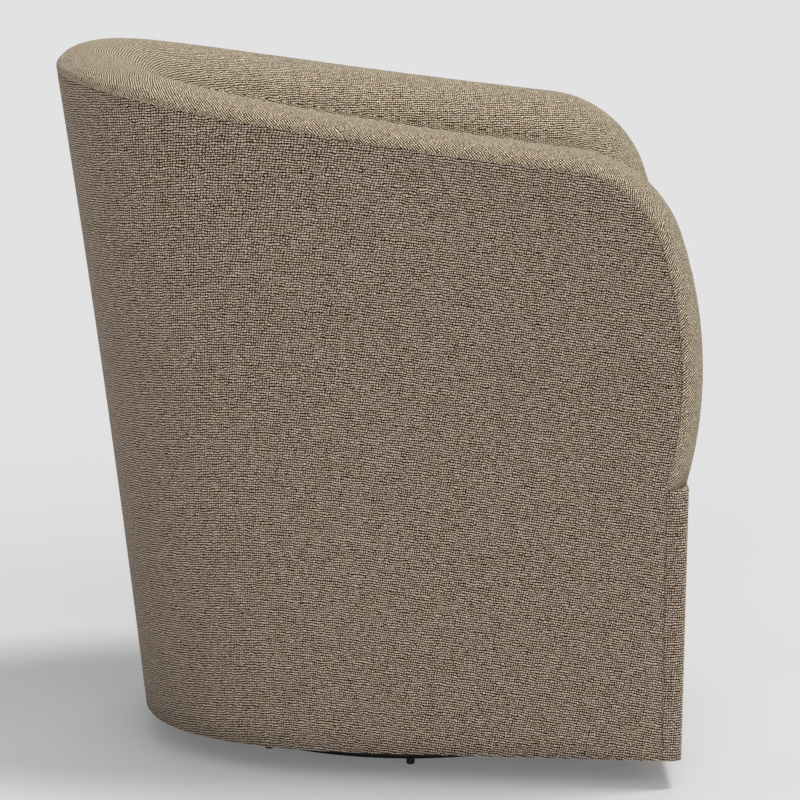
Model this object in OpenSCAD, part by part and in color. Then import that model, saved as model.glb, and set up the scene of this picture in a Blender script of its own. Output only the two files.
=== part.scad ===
// Swivel barrel chair: an upholstered tub on a hidden round base that turns on a ball bearing.
// The origin is on the floor under the swivel's axis, the sitter faces -Y, +Z is up, in millimetres.

/* [Barrel] */
// Height of the hem above the floor
hem_z = 31; // [27:1:45]
// Half the outside width at the hem, beside the swivel
hem_half_w = 295; // [280:1:330]
// From the middle line back to the outside of the back, at the hem
hem_back = 292; // [275:1:320]
// How far behind the swivel's axis the straight sides run into the round back
plan_mid = 7; // [-20:1:40]
// Squareness of the round back seen from above, 2 is an ellipse
plan_power = 2.8; // [2:0.1:3.2]
// Angle at which the sides open toward the front
side_splay = 5.9; // [2:0.1:8]
// Outward lean of the sides
side_lean = 4.2; // [1:0.1:6]
// Backward lean of the back
back_lean = 7.1; // [3:0.1:10]
// How far the taut side cover dips in at mid height
side_hollow = 4; // [0:0.5:8]
// How far the taut back cover dips in at mid height
back_hollow = 3; // [0:0.5:8]
// Wall thickness at the rim
wall_top = 105; // [95:1:125]
// Wall thickness at the seat
wall_seat = 92; // [84:1:110]

/* [Rim and arm fronts] */
// Height of the rim beside the swivel's axis
rim_z = 701; // [640:1:760]
// Slope of the rim, falling toward the front
rim_slope = 6.9; // [3:0.1:10]
// Extra rise of the rim at the middle of the back
rim_lift = 13; // [0:1:30]
// From the outer edge of the rim in to its ridge
crown_out_w = 44; // [30:1:52]
// Height of the ridge above the outer edge
crown_out_h = 17; // [8:1:18]
// Depth of the soft inner roll below the ridge
crown_in_h = 50; // [42:1:60]
// Depth of the seam between the rim band and the outside cover
seam_d = 20; // [19:1:28]
// Foremost point of the arm fronts, ahead of the swivel's axis
arm_front = 300; // [285:1:320]
// Height of that foremost point
arm_front_z = 442; // [400:1:480]
// Radius of the arm front's swell, seen from the side
arm_front_r = 467; // [380:1:600]
// Radius of the corner between the arm's top and its front
arm_corner_r = 132; // [100:1:160]
// Height of the arm front's foot, on top of the front panel
arm_foot_z = 327; // [310:1:345]

/* [Cover and padding] */
// Thickness of the upholstery fabric
cover_t = 2; // [1:0.5:3]
// Thickness of the foam on the inside of the barrel
pad_t = 50; // [44:1:54]
// Thickness of the board under the outside cover
outer_board_t = 3; // [2:0.5:4]
// Thickness of the board behind the inside foam
inner_board_t = 2.5; // [2:0.5:4]
// Width of the fabric turned under the hem
hem_turn = 20; // [12:1:24]
// Depth of the foam over the rim, down to the top rail
rim_foam = 16; // [13:1:17]
// Width of the tack strip behind the rim seam
tack_strip_h = 12; // [8:1:16]

/* [Front panel] */
// Front face of the panel at its top, ahead of the swivel's axis
panel_front = 290; // [284:1:296]
// How far the panel's foot stands behind its top
panel_tuck = 3; // [0:1:12]
// Radius of the panel's outer upright edges
panel_corner_r = 12; // [8:1:20]
// Thickness of the padding on the panel
panel_pad_t = 8; // [6:1:9]
// Thickness of the panel's board
panel_board_t = 12; // [10:1:15]

/* [Seat cushion] */
// Thickness of the cushion's border between its two seams
cushion_border = 104; // [80:1:120]
// Rise of the cushion's crown above the border
cushion_crown = 22; // [10:1:30]
// How far the border bulges beyond its seams
cushion_bulge = 5; // [2:1:8]
// How far the cushion's sides are drawn in between its corners
cushion_draw = 5; // [0:1:12]
// Front of the cushion, ahead of the swivel's axis
cushion_front = 294; // [285:1:300]
// Corner radius at the cushion's front
cushion_corner_r = 46; // [30:1:60]
// Thickness of the dust cover under the frame
dust_t = 1; // [0.6:0.1:1.4]

/* [Wooden frame] */
// Plywood thickness of the two frame rings
ring_t = 18; // [15:1:21]
// Width of the bottom ring
bottom_ring_w = 70; // [60:1:90]
// Width of the seat ring's ledge inside the wall, where the springs end
spring_ledge_w = 14; // [12:1:20]
// Height of the seat ring's underside
seat_ring_z = 272; // [255:1:276]
// Thickness of the posts across the wall
post_t = 24; // [18:1:26]
// Width of the posts along the wall
post_w = 44; // [36:1:60]
// Width of the top rail across the wall
rail_w = 40; // [38:1:44]
// Leg length of the corner blocks
block_leg = 70; // [50:1:80]
// Height of the corner blocks
block_h = 30; // [24:1:40]
// Width of each swivel board
slat_w = 76; // [70:1:90]
// Thickness of each swivel board
slat_t = 22; // [20:1:26]
// Distance of the swivel boards from the axis
slat_y = 92; // [80:1:100]

/* [Seat springs] */
// Number of zigzag springs
spring_n = 5; // [3:1:6]
// Distance between neighbouring springs
spring_pitch = 84; // [74:1:88]
// Wire diameter of the springs
spring_wire = 3.6; // [3:0.1:4]
// Overall width of a spring's zigzag
spring_w = 50; // [44:1:60]
// Distance between the cross bars of a spring, before it is fitted to the spring's length
bar_pitch = 30; // [26:1:34]

/* [Round base] */
// Diameter of the base disc
base_d = 457; // [420:1:460]
// Thickness of the base disc
base_t = 18; // [15:1:18]
// Edge radius of the base disc
base_edge_r = 4; // [2:0.5:6]
// Height of the floor glides
glide_h = 7; // [6:0.5:8]
// Diameter of the floor glides
glide_d = 9; // [8:0.5:20]
// Number of floor glides
glide_n = 8; // [6:1:8]
// Distance of the glides from the edge of the disc
glide_inset = 8.5; // [7:0.5:20]

/* [Swivel bearing] */
// Outside diameter of the two swivel plates
plate_d = 300; // [290:1:310]
// Sheet thickness of the swivel plates
plate_t = 2.5; // [2:0.5:3]
// Gap between the flanges of the two plates
plate_gap = 13; // [12:0.5:14]
// Ball diameter
ball_d = 10; // [9:0.5:10]
// Number of balls
ball_n = 24; // [12:1:30]
// Radius of the circle that the balls run on
race_r = 110; // [105:1:112]
// Distance between the faces of the two races
race_gap = 8; // [7.5:0.1:8.5]
// Width of the raised band that holds the race
race_band_w = 28; // [26:1:30]
// Thickness of the ball cage
cage_t = 1.6; // [1:0.1:2]
// Diameter of the king pin
pin_d = 16; // [12:1:20]
// Diameter of the king pin's heads
pin_head_d = 27; // [25:1:30]
// Thickness of the king pin's heads
pin_head_t = 2.4; // [2:0.1:2.4]
// Diameter of the raised hub around the king pin
hub_d = 60; // [50:1:70]
// Thickness of the washer between the hubs
washer_t = 2; // [1.5:0.1:2.5]
// Number of screws in each plate
screw_n = 6; // [4:2:8]
// Distance of the screws from the axis
screw_r = 137; // [134:1:138]
// Shank diameter of the screws
screw_d = 4.2; // [4:0.1:4.5]
// Head diameter of the screws
screw_head_d = 9; // [8:0.5:9]
// Head height of the screws
screw_head_h = 2.6; // [2:0.1:3]
// Length of the screws under the head
screw_len = 15; // [12:1:16]

/* [Hidden] */
$fn = 96;

fabric_colour = "#8b7a62";
inner_fabric_colour = "#93826a";
foam_colour = "#e8dfae";
ply_colour = "#c9a46c";
hardwood_colour = "#b5854f";
board_colour = "#8c7a5c";
steel_colour = "#9a9da1";
black_colour = "#1b1b1c";

// Clearance between parts that lie against each other
gap = 0.3;
// Overrun of every cut
over = 1;
// Running clearance of the bearing's round parts, on the radius
run_gap = 0.05;
// Clearance of the balls in their pockets and races, on the radius
ball_gap = 0.15;

// Clearance between the boards in the wall and the straight parts of the frame
frame_gap = 2;
// The pitch of a spring's bars is rounded to this
bar_round = 0.1;
// How fast the ways down fan out behind the edge, at first and from one to the next
fan_power = 0.5;
// Clearance between the two covers at the seam
seam_gap = 0.8;
// Clearance between the cushion and the wall
cushion_ease = 2;
// Clearance between the foam and the rails under the rim
rail_gap = 1;
// Clearance between the dust cover and the swivel plates
dust_gap = 9;
// Length of side that one unit of the plan's running value covers
side_run = plan_mid + arm_front;
// Steps along the arm front, its corner, the side and half the round back
foot_steps = 5;
corner_steps = 7;
side_steps = 3;
back_steps = 10;
// Step of the running value used to find the plan's direction
slope_share = 0.001;

// Depths that follow from the layers, measured in from the outside of the wall
board_e = cover_t + gap;
frame_e = board_e + outer_board_t + gap;
crown_in_w = wall_top - crown_out_w;
rail_in_e = frame_e + rail_w;
post_e = frame_e + frame_gap;
seat_ring_w = wall_seat + spring_ledge_w - post_e;
glide_r = base_d / 2 - glide_inset;
ring_bottom_z = hem_z + cover_t;
ring_top_z = ring_bottom_z + ring_t;
seat_ring_top = seat_ring_z + ring_t;
tuck_z = seat_ring_top + gap;
disc_top = glide_h + base_t;
bearing_z = disc_top + plate_t + plate_gap / 2;
plate_top = disc_top + 2 * plate_t + plate_gap;

function mix(a, b, t) = a + (b - a) * t;
function mirror_x(v) = [-v[0], v[1], v[2]];

// Plan of the barrel: p runs from 0 at the middle of the back over 1, where the
// round back ends, and on along the straight side. x is on the sitter's left.
function rise_share(z) = (z - hem_z) / (rim_z - hem_z);
function dip_share(z) = 4 * rise_share(z) * (1 - rise_share(z));
function side_half(z) = hem_half_w + tan(side_lean) * (z - hem_z) - side_hollow * dip_share(z);
function back_reach(z) = hem_back + tan(back_lean) * (z - hem_z) - back_hollow * dip_share(z);
function round_share(p) = p < 1 ? pow(sin(90 * p), 2 / plan_power) : 1;
function plan_y(p, z) =
  p < 1 ? plan_mid + back_reach(z) * pow(cos(90 * p), 2 / plan_power) : plan_mid - (p - 1) * side_run;
function plan(p, z) =
  let (y = plan_y(p, z)) [(side_half(z) + tan(side_splay) * (plan_mid - y)) * round_share(p), y];
function plan_inward(p, z) =
  let (
    q = max(p, 0),
    d = plan(q + slope_share, z) - plan(max(q - slope_share, 0), z)
  ) [d[1], -d[0]] / norm(d);
function p_at(y) = 1 + (plan_mid - y) / side_run;

// Point of the wall at running value p and height z, a depth e in from the outside
function wall_xyz(p, z, e) =
  let (s = plan(p, z), n = plan_inward(p, z)) [s[0] + e * n[0], s[1] + e * n[1], z];
// The same on the straight side, at an exact y
function side_xyz(y, z, e) = wall_xyz(p_at(y + e * sin(side_splay)), z, e);

// Running value at which the wall's surface, a depth e in, crosses a line at y
function p_crossing(y, z, e, low = 0, high = 2, turns = 20) =
  let (m = (low + high) / 2)
  turns == 0 ? m :
  wall_xyz(m, z, e)[1] > y ? p_crossing(y, z, e, m, high, turns - 1) : p_crossing(y, z, e, low, m, turns - 1);
function inner_x(y, z, e) = wall_xyz(p_crossing(y, z, e), z, e)[0];

// Side view of the arm, as [y, z]: a swelling front, a corner arc and the sloping rim
swell_c = [arm_front_r - arm_front, arm_front_z];
rim_m = tan(rim_slope);
corner_drop = rim_z - arm_corner_r / cos(rim_slope);
corner_a = 1 + rim_m * rim_m;
corner_b = 2 * (rim_m * (corner_drop - swell_c[1]) - swell_c[0]);
corner_c = pow(swell_c[0], 2) + pow(corner_drop - swell_c[1], 2) - pow(arm_front_r - arm_corner_r, 2);
corner_y = (-corner_b - sqrt(corner_b * corner_b - 4 * corner_a * corner_c)) / (2 * corner_a);
corner_o = [corner_y, corner_drop + rim_m * corner_y];
rim_start_y = corner_y - arm_corner_r * sin(rim_slope);
foot_angle = asin((arm_foot_z - swell_c[1]) / arm_front_r);
swell_angle = atan2(corner_o[1] - swell_c[1], swell_c[0] - corner_o[0]);
rim_span = plan_mid + back_reach(rim_z) - rim_start_y;
function rim_line(y) = rim_z + rim_m * y + rim_lift * pow(max(y - rim_start_y, 0) / rim_span, 2);
function rim_at(p, turns = 5, z = rim_z) = turns == 0 ? z : rim_at(p, turns - 1, rim_line(plan_y(p, z)));

// Stations along the rim from an arm's foot to the middle of the back, each as
// [p, z, direction into the wall as (back, down)]
foot_stations = [
  for (i = [0:foot_steps]) let (
    a = mix(foot_angle, swell_angle, i / foot_steps),
    n = max(a, 0)
  ) [p_at(swell_c[0] - arm_front_r * cos(a)), swell_c[1] + arm_front_r * sin(a), [cos(n), sin(n)]]
];
corner_stations = [
  for (i = [1:corner_steps]) let (
    a = mix(swell_angle, 90 - rim_slope, i / corner_steps),
    n = mix(swell_angle, 90, i / corner_steps)
  ) [p_at(corner_o[0] - arm_corner_r * cos(a)), corner_o[1] + arm_corner_r * sin(a), [cos(n), sin(n)]]
];
p_rim_start = p_at(rim_start_y);
rim_ps = concat(
  [for (i = [1:side_steps]) mix(p_rim_start, 1, i / side_steps)],
  [for (i = [1:back_steps]) 1 - i / back_steps]
);
stations = concat(foot_stations, corner_stations, [for (p = rim_ps) [p, rim_at(p), [0, 1]]]);
half_n = len(stations) - 1;
front_n = foot_steps + corner_steps;
all_ids = [0:2 * half_n];

// Front edge of a layer that ends a depth d in from the arm's outline: it follows the
// swelling arm, and goes straight down from the arm's foot
arm_foot_y = arm_front_r * cos(foot_angle) - swell_c[0];
function foot_y(d) = arm_foot_y - d;
function front_edge_y(z, d) =
  z < arm_foot_z ? d - arm_foot_y :
  z < arm_front_z ? d + swell_c[0] - sqrt(pow(arm_front_r, 2) - pow(z - arm_front_z, 2)) : d - arm_front;

// Point of the wall at station i: depth e in from the outside, then d in from the
// rim, and from the rim's roll a share f of the way down to height low_z. Under the
// arm fronts the ways down fan out, and each keeps its share of the room behind the edge.
function wall_point(i, e, d, f, low_z) =
  let (
    k = min(i, 2 * half_n - i),
    st = stations[k],
    z0 = st[1] - st[2][1] * d,
    z = mix(z0, low_z, f),
    edge = d - arm_front,
    y0 = z0 < arm_front_z ? edge : plan_mid - (st[0] - 1) * side_run + st[2][0] * d,
    fan = mix(y0, mix(edge, rim_start_y, pow(k / front_n, fan_power)), pow(f, fan_power)),
    share = (fan - edge) / (rim_start_y - edge),
    y = z < arm_front_z ? mix(front_edge_y(z, d), rim_start_y, share) : fan,
    w = wall_xyz(k < front_n ? p_at(y) : st[0], z, e)
  ) i > half_n ? w : mirror_x(w);
function wall_grid(rows, low_z, ids = all_ids) =
  [for (i = ids) [for (r = rows) wall_point(i, r[0], r[1], r[2], low_z)]];

// Closed sheet between two grids of points of the same size. From line turn_at on, its
// faces are split the other way, so that a sheet with two like sides is symmetric.
module sheet(front, back, turn_at = half_n) {
  ni = len(front);
  nj = len(front[0]);
  function a(i, j) = i * nj + j;
  function b(i, j) = ni * nj + i * nj + j;
  function quad(i, q, r, s, t) = i < turn_at ? [[q, r, s], [q, s, t]] : [[q, r, t], [r, s, t]];
  faces = concat(
    [for (i = [0:ni - 2], j = [0:nj - 2]) each quad(i, a(i, j), a(i, j + 1), a(i + 1, j + 1), a(i + 1, j))],
    [for (i = [0:ni - 2], j = [0:nj - 2]) each quad(i, b(i, j), b(i + 1, j), b(i + 1, j + 1), b(i, j + 1))],
    [for (i = [0:ni - 2]) each quad(i, a(i, 0), a(i + 1, 0), b(i + 1, 0), b(i, 0))],
    [for (i = [0:ni - 2]) each quad(i, a(i + 1, nj - 1), a(i, nj - 1), b(i, nj - 1), b(i + 1, nj - 1))],
    [for (j = [0:nj - 2]) each quad(0, a(0, j + 1), a(0, j), b(0, j), b(0, j + 1))],
    [for (j = [0:nj - 2]) each quad(ni, a(ni - 1, j), a(ni - 1, j + 1), b(ni - 1, j + 1), b(ni - 1, j))]
  );
  polyhedron(points = concat([for (r = front) each r], [for (r = back) each r]), faces = faces);
}

// Closed solid over a stack of level outlines, each counter-clockwise from above
module stack(rings) {
  n = len(rings[0]);
  m = len(rings);
  function a(k, i) = k * n + i % n;
  faces = concat(
    [[for (i = [0:n - 1]) i]],
    [[for (i = [n - 1:-1:0]) a(m - 1, i)]],
    [for (k = [0:m - 2], i = [0:n - 1]) [a(k, i), a(k + 1, i), a(k + 1, i + 1)]],
    [for (k = [0:m - 2], i = [0:n - 1]) [a(k, i), a(k + 1, i + 1), a(k, i + 1)]]
  );
  polyhedron(points = [for (r = rings) each r], faces = faces);
}

// Rows of the rim's crown, a depth t under its surface, from the outer edge over the ridge
out_angles = [0, 30, 60, 90];
in_angles = [67.5, 45, 22.5, 0];
function crown_rows(t) = concat(
  [for (a = out_angles) [
    crown_out_w - (crown_out_w - t) * cos(a), crown_out_h - (crown_out_h - t) * sin(a), 0
  ]],
  [for (a = in_angles) [
    crown_out_w + (crown_in_w - t) * cos(a), crown_in_h - (crown_in_h - t) * sin(a), 0
  ]]
);
// Rows down the inside of the wall, a depth t under its surface
inside_shares = [1 / 3, 2 / 3, 1];
function inside_rows(t) = [for (f = inside_shares) [mix(wall_top, wall_seat, f) - t, crown_in_h, f]];
// Rows down the outside of the wall, at depth e, from a depth top_d below the rim
outside_shares = [0, 0.25, 0.5, 0.75, 1];
function outside_rows(e, top_d) = [for (f = outside_shares) [e, top_d, f]];

module outside_cover() {
  d = seam_d + seam_gap;
  face = concat(outside_rows(0, d), [[hem_turn, d, 1]]);
  lining = concat(outside_rows(cover_t, d), [[hem_turn, d, 1]]);
  color(fabric_colour)
  sheet(wall_grid(face, hem_z), wall_grid(lining, hem_z + cover_t));
}

module outer_board() {
  top_d = seam_d + tack_strip_h + gap;
  low_z = hem_z + cover_t + gap;
  color(board_colour)
  sheet(
    wall_grid(outside_rows(board_e, top_d), low_z),
    wall_grid(outside_rows(board_e + outer_board_t, top_d), low_z)
  );
}

module tack_strip() {
  rows = [seam_d, seam_d + tack_strip_h / 2, seam_d + tack_strip_h];
  color(board_colour)
  sheet(
    wall_grid([for (d = rows) [board_e, d, 0]], hem_z),
    wall_grid([for (d = rows) [board_e + outer_board_t, d, 0]], hem_z)
  );
}

module inside_cover() {
  face = concat([[0, seam_d, 0]], crown_rows(0), inside_rows(0));
  lining = concat([[cover_t, seam_d, 0]], crown_rows(cover_t), inside_rows(cover_t));
  color(inner_fabric_colour)
  sheet(wall_grid(lining, tuck_z), wall_grid(face, tuck_z));
}

// The foam follows the cover on one side, and on the other the top rail and the inner board
module inside_padding() {
  t = cover_t + gap;
  face = concat([[t, seam_d - gap, 0]], crown_rows(t), inside_rows(t));
  top_e = frame_e - gap;
  in_e = wall_top - t - pad_t;
  steps = len(out_angles) + len(in_angles) - 3;
  over_rail = [for (i = [0:steps]) [mix(top_e, in_e, i / steps), rim_foam - gap, 0]];
  back = concat(
    [[top_e, seam_d - gap, 0]], over_rail,
    [[in_e, mix(rim_foam, crown_in_h, 0.5), 0], [in_e, crown_in_h, 0]], inside_rows(t + pad_t)
  );
  color(foam_colour)
  sheet(wall_grid(back, tuck_z), wall_grid(face, tuck_z));
}

module inner_board() {
  t = cover_t + gap + pad_t + gap;
  rows_face = concat([[wall_top - t, rim_foam, 0], [wall_top - t, crown_in_h, 0]], inside_rows(t));
  s = t + inner_board_t;
  rows_back = concat([[wall_top - s, rim_foam, 0], [wall_top - s, crown_in_h, 0]], inside_rows(s));
  color(board_colour)
  sheet(wall_grid(rows_back, tuck_z), wall_grid(rows_face, tuck_z));
}

// Rail along the rim between two stations, under the foam
module rim_rail(ids, turn_at) {
  rows = [rim_foam + rail_gap, crown_in_h];
  sheet(
    wall_grid([for (d = rows) [frame_e, d, 0]], tuck_z, ids),
    wall_grid([for (d = rows) [rail_in_e - gap, d, 0]], tuck_z, ids),
    turn_at
  );
}
module top_rail() {
  color(ply_colour) rim_rail([front_n:2 * half_n - front_n], half_n - front_n);
}
module arm_formers() {
  color(ply_colour)
  on_both_sides() rim_rail([0:front_n], half_n);
}

// Outline of the barrel at height z, a depth e in, closed by a straight front at y = -front
ring_round_n = 14;
ring_side_n = 2;
function half_outline(z, e, front) = concat(
  [for (i = [0:ring_side_n]) let (w = side_xyz(mix(-front, plan_mid, i / ring_side_n), z, e)) [w[0], w[1]]],
  [for (i = [1:ring_round_n]) let (w = wall_xyz(1 - i / ring_round_n, z, e)) [w[0], w[1]]]
);
function outline(z, e, front) =
  let (h = half_outline(z, e, front), n = len(h)) concat(h, [for (i = [n - 2:-1:0]) [-h[i][0], h[i][1]]]);

front_back_y = panel_front - panel_tuck - cover_t - panel_pad_t - panel_board_t - 3 * gap;
module plywood_ring(z, w, front_w) {
  translate([0, 0, z])
  linear_extrude(ring_t)
  difference() {
    polygon(outline(z + ring_t / 2, post_e, front_back_y));
    polygon(outline(z + ring_t / 2, post_e + w, front_back_y - front_w));
  }
}
module bottom_ring() {
  color(ply_colour) plywood_ring(ring_bottom_z, bottom_ring_w, bottom_ring_w);
}
module seat_ring() {
  color(ply_colour) plywood_ring(seat_ring_z, seat_ring_w, bottom_ring_w);
}

// Straight post in the wall, centred on p, between two heights that may differ at its two edges
module post(p, z_low, z_high) {
  half_p = post_w / 2 / side_run;
  e0 = post_e;
  e1 = post_e + post_t;
  edges = p < half_p ? [half_p, -half_p] : [p + half_p, p - half_p];
  function corner(q, z, e) = q < 0 ? mirror_x(wall_xyz(-q, z, e)) : wall_xyz(q, z, e);
  function level(z) = [
    corner(edges[0], z, e0), corner(edges[1], z, e0), corner(edges[1], z, e1), corner(edges[0], z, e1)
  ];
  low = level(z_low);
  high = [
    corner(edges[0], z_high[0], e0), corner(edges[1], z_high[1], e0),
    corner(edges[1], z_high[1], e1), corner(edges[0], z_high[0], e1)
  ];
  hull() {
    polyhedron(points = concat(low, high), faces = [
      [0, 1, 2], [0, 2, 3], [6, 5, 4], [7, 6, 4],
      [0, 4, 5], [0, 5, 1], [1, 5, 6], [1, 6, 2], [2, 6, 7], [2, 7, 3], [3, 7, 4], [3, 4, 0]
    ]);
  }
}
module on_both_sides() {
  children();
  mirror([1, 0, 0]) children();
}

front_post_y = post_w / 2 + gap - front_back_y + (post_e + post_t) * sin(side_splay);
front_post_p = p_at(front_post_y);
post_shares = [1.32, 0.94, 0.62, 0.32];
module lower_posts() {
  color(hardwood_colour) {
    on_both_sides()
    for (p = concat(front_post_p, post_shares)) post(p, ring_top_z, [seat_ring_z, seat_ring_z]);
    post(0, ring_top_z, [seat_ring_z, seat_ring_z]);
  }
}
module upper_posts() {
  half_p = post_w / 2 / side_run;
  function under_rail(p) = rim_at(max(p, 0)) - crown_in_h - 2 * gap;
  color(hardwood_colour) {
    on_both_sides() {
      for (p = post_shares) post(p, seat_ring_top, [under_rail(p + half_p), under_rail(p - half_p)]);
      post(front_post_p, seat_ring_top, [arm_foot_z - gap, arm_foot_z - gap]);
    }
    post(0, seat_ring_top, [under_rail(half_p), under_rail(half_p)]);
  }
}

// Glued blocks that stiffen the front corners of both rings
module corner_blocks() {
  e = post_e + post_t + gap;
  color(hardwood_colour)
  on_both_sides()
  for (z = [ring_top_z, seat_ring_z - block_h]) {
    front = side_xyz(-front_back_y, z, e);
    back = side_xyz(block_leg - front_back_y, z, e);
    translate([0, 0, z])
    linear_extrude(block_h)
    polygon([[front[0], front[1]], [back[0], back[1]], [front[0] - block_leg, front[1]]]);
  }
}

module swivel_boards() {
  z = plate_top;
  lap_z = ring_top_z;
  end_e = post_e + post_t + frame_gap;
  shoulder_e = post_e + bottom_ring_w + frame_gap;
  color(hardwood_colour)
  for (s = [-1, 1]) {
    edge_y = s * slat_y + slat_w / 2;
    long = inner_x(edge_y, ring_bottom_z, end_e);
    short = inner_x(edge_y, ring_bottom_z, shoulder_e);
    translate([0, s * slat_y, 0])
    difference() {
      union() {
        translate([-long, -slat_w / 2, lap_z]) cube([2 * long, slat_w, z + slat_t - lap_z]);
        translate([-short, -slat_w / 2, z]) cube([2 * short, slat_w, slat_t]);
      }
      translate([0, -s * slat_y, 0]) screw_holes(z, screw_len, screw_d / 2 + run_gap);
    }
  }
}

// Cushion: two crowned panels and a border that bulges between its seams
cushion_z = arm_foot_z;
cushion_side_n = 3;
cushion_round_n = 9;
cushion_corner_n = 3;
cushion_gap = cushion_ease + cushion_bulge;
// Depth of the wall's inner side at running value p and height z
function inner_e(p, z) =
  let (
    q = min(p, p_rim_start),
    top = rim_at(q) - crown_in_h,
    e = mix(wall_top, wall_seat, min((top - z) / (top - tuck_z), 1))
  ) mix(e, wall_top, max(p - p_rim_start, 0) / (p_at(-foot_y(crown_in_h)) - p_rim_start));
function cushion_half(z, inset) =
  let (
    front = cushion_front - inset,
    side_y = -front + cushion_corner_r,
    e0 = cushion_gap + inset,
    corner_w = wall_xyz(p_at(side_y), z, wall_top + e0),
    o = [corner_w[0] - cushion_corner_r, side_y]
  ) concat(
    [[0, -front + cushion_draw], [o[0] / 2, -front + cushion_draw / 2]],
    [for (i = [0:cushion_corner_n]) let (a = 90 * i / cushion_corner_n)
      [o[0] + cushion_corner_r * sin(a), o[1] - cushion_corner_r * cos(a)]],
    [for (i = [1:cushion_side_n]) let (
      s = i / cushion_side_n,
      p = mix(p_at(side_y), 1, s),
      w = wall_xyz(p, z, min(inner_e(p, z), wall_top) + e0 + cushion_draw * sin(180 * s))
    ) [w[0], w[1]]],
    [for (i = [1:cushion_round_n]) let (
      p = 1 - i / cushion_round_n,
      w = wall_xyz(p, z, inner_e(p, z) + e0)
    ) [w[0], w[1]]]
  );
function cushion_outline(z, inset) =
  let (h = cushion_half(z, inset), n = len(h)) concat(h, [for (i = [n - 2:-1:1]) [-h[i][0], h[i][1]]]);
function cushion_mid() = let (o = cushion_outline(cushion_z, 0), n = (len(o) / 2)) (o[0] + o[n]) / 2;
function shrunk(ring, s) = let (c = cushion_mid()) [for (v = ring) [mix(c[0], v[0], s), mix(c[1], v[1], s)]];
function at_height(ring, z) = [for (v = ring) [v[0], v[1], z]];
module seat_cushion() {
  low = cushion_z;
  seam_low = low + cushion_crown / 3;
  seam_high = seam_low + cushion_border;
  foot_share = 0.94;
  dome_shares = [0.92, 0.72, 0.42, 0.14];
  dome_power = 3;
  dome_root = 1.6;
  // Height of the crown over the seam, by the share of the way out from the middle
  function dome(s) = cushion_crown * pow(1 - pow(s, dome_power), 1 / dome_root);
  border = [for (s = [0, 0.25, 0.5, 0.75, 1]) [mix(seam_low, seam_high, s), -cushion_bulge * sin(180 * s)]];
  color(fabric_colour)
  stack(concat(
    [at_height(shrunk(cushion_outline(seam_low, 0), foot_share), low)],
    [for (b = border) at_height(cushion_outline(b[0], b[1]), b[0])],
    [for (s = dome_shares) at_height(shrunk(cushion_outline(seam_high, 0), s), seam_high + dome(s))]
  ));
}

// Zigzag springs from the front rail to the back of the seat ring
spring_z = seat_ring_top + spring_wire + gap;
spring_front_y = bottom_ring_w - bar_pitch - front_back_y;
// Where the inner edge of the seat ring crosses a line at x
function ring_in_y(x, low = 0, high = 1, turns = 20) =
  let (
    m = (low + high) / 2,
    w = wall_xyz(m, seat_ring_z, post_e + seat_ring_w)
  )
  turns == 0 ? w[1] :
  w[0] > x ? ring_in_y(x, low, m, turns - 1) : ring_in_y(x, m, high, turns - 1);
function spring_x(i) = (i - (spring_n - 1) / 2) * spring_pitch;
function ring_to_bar(x) = ring_in_y(abs(x) + clip_w / 2) + spring_ledge_w / 2 - spring_front_y;
function spring_steps(x) = round(ring_to_bar(x) / bar_pitch);
function spring_step(x) = round(ring_to_bar(x) / spring_steps(x) / bar_round) * bar_round;
function spring_run(x) = spring_steps(x) * spring_step(x);
module half_turn(r, wire) {
  rotate_extrude(angle = 180, $fn = 48) translate([r, 0]) circle(d = wire, $fn = 16);
}
module zigzag(steps, step) {
  r = step / 2;
  straight = spring_w - 2 * r - spring_wire;
  for (i = [0:steps]) translate([0, i * step, 0]) {
    translate([-straight / 2, 0, 0]) rotate([0, 90, 0]) cylinder(h = straight, d = spring_wire, $fn = 16);
    if (i < steps) {
      s = i % 2 == 0 ? 1 : -1;
      translate([s * straight / 2, r, 0]) rotate([0, 0, -90 * s]) half_turn(r, spring_wire);
    }
  }
}
module seat_springs() {
  color(steel_colour)
  for (i = [0:spring_n - 1]) {
    x = spring_x(i);
    translate([x, spring_front_y, spring_z]) zigzag(spring_steps(x), spring_step(x));
  }
}
clip_w = spring_w / 3;
clip_t = spring_wire / 3;
module clip() {
  inner = spring_wire / 2 + gap / 3;
  outer = inner + clip_t;
  rotate([90, 0, 90])
  translate([0, 0, -clip_w / 2])
  linear_extrude(clip_w)
  union() {
    difference() {
      circle(r = outer, $fn = 32);
      circle(r = inner, $fn = 32);
      translate([0, -outer]) square([outer + over, 2 * outer]);
    }
    translate([0, inner]) square([outer, clip_t]);
    translate([0, -outer]) square([4 * outer, clip_t]);
  }
}
// The deck pad fills the space from the springs up to the cushion
module seat_deck() {
  z = spring_z + spring_wire / 2 + clip_t + 2 * gap;
  color(black_colour)
  translate([0, 0, z])
  linear_extrude(arm_foot_z - gap - z)
  polygon(outline(z, wall_top + gap, front_back_y));
}
module spring_clips() {
  color(steel_colour)
  for (i = [0:spring_n - 1]) {
    x = spring_x(i);
    translate([x, spring_front_y, spring_z]) mirror([0, 1, 0]) rotate([0, 0, 180]) clip();
    translate([x, spring_front_y + spring_run(x), spring_z]) rotate([0, 0, 180]) clip();
  }
}

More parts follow.
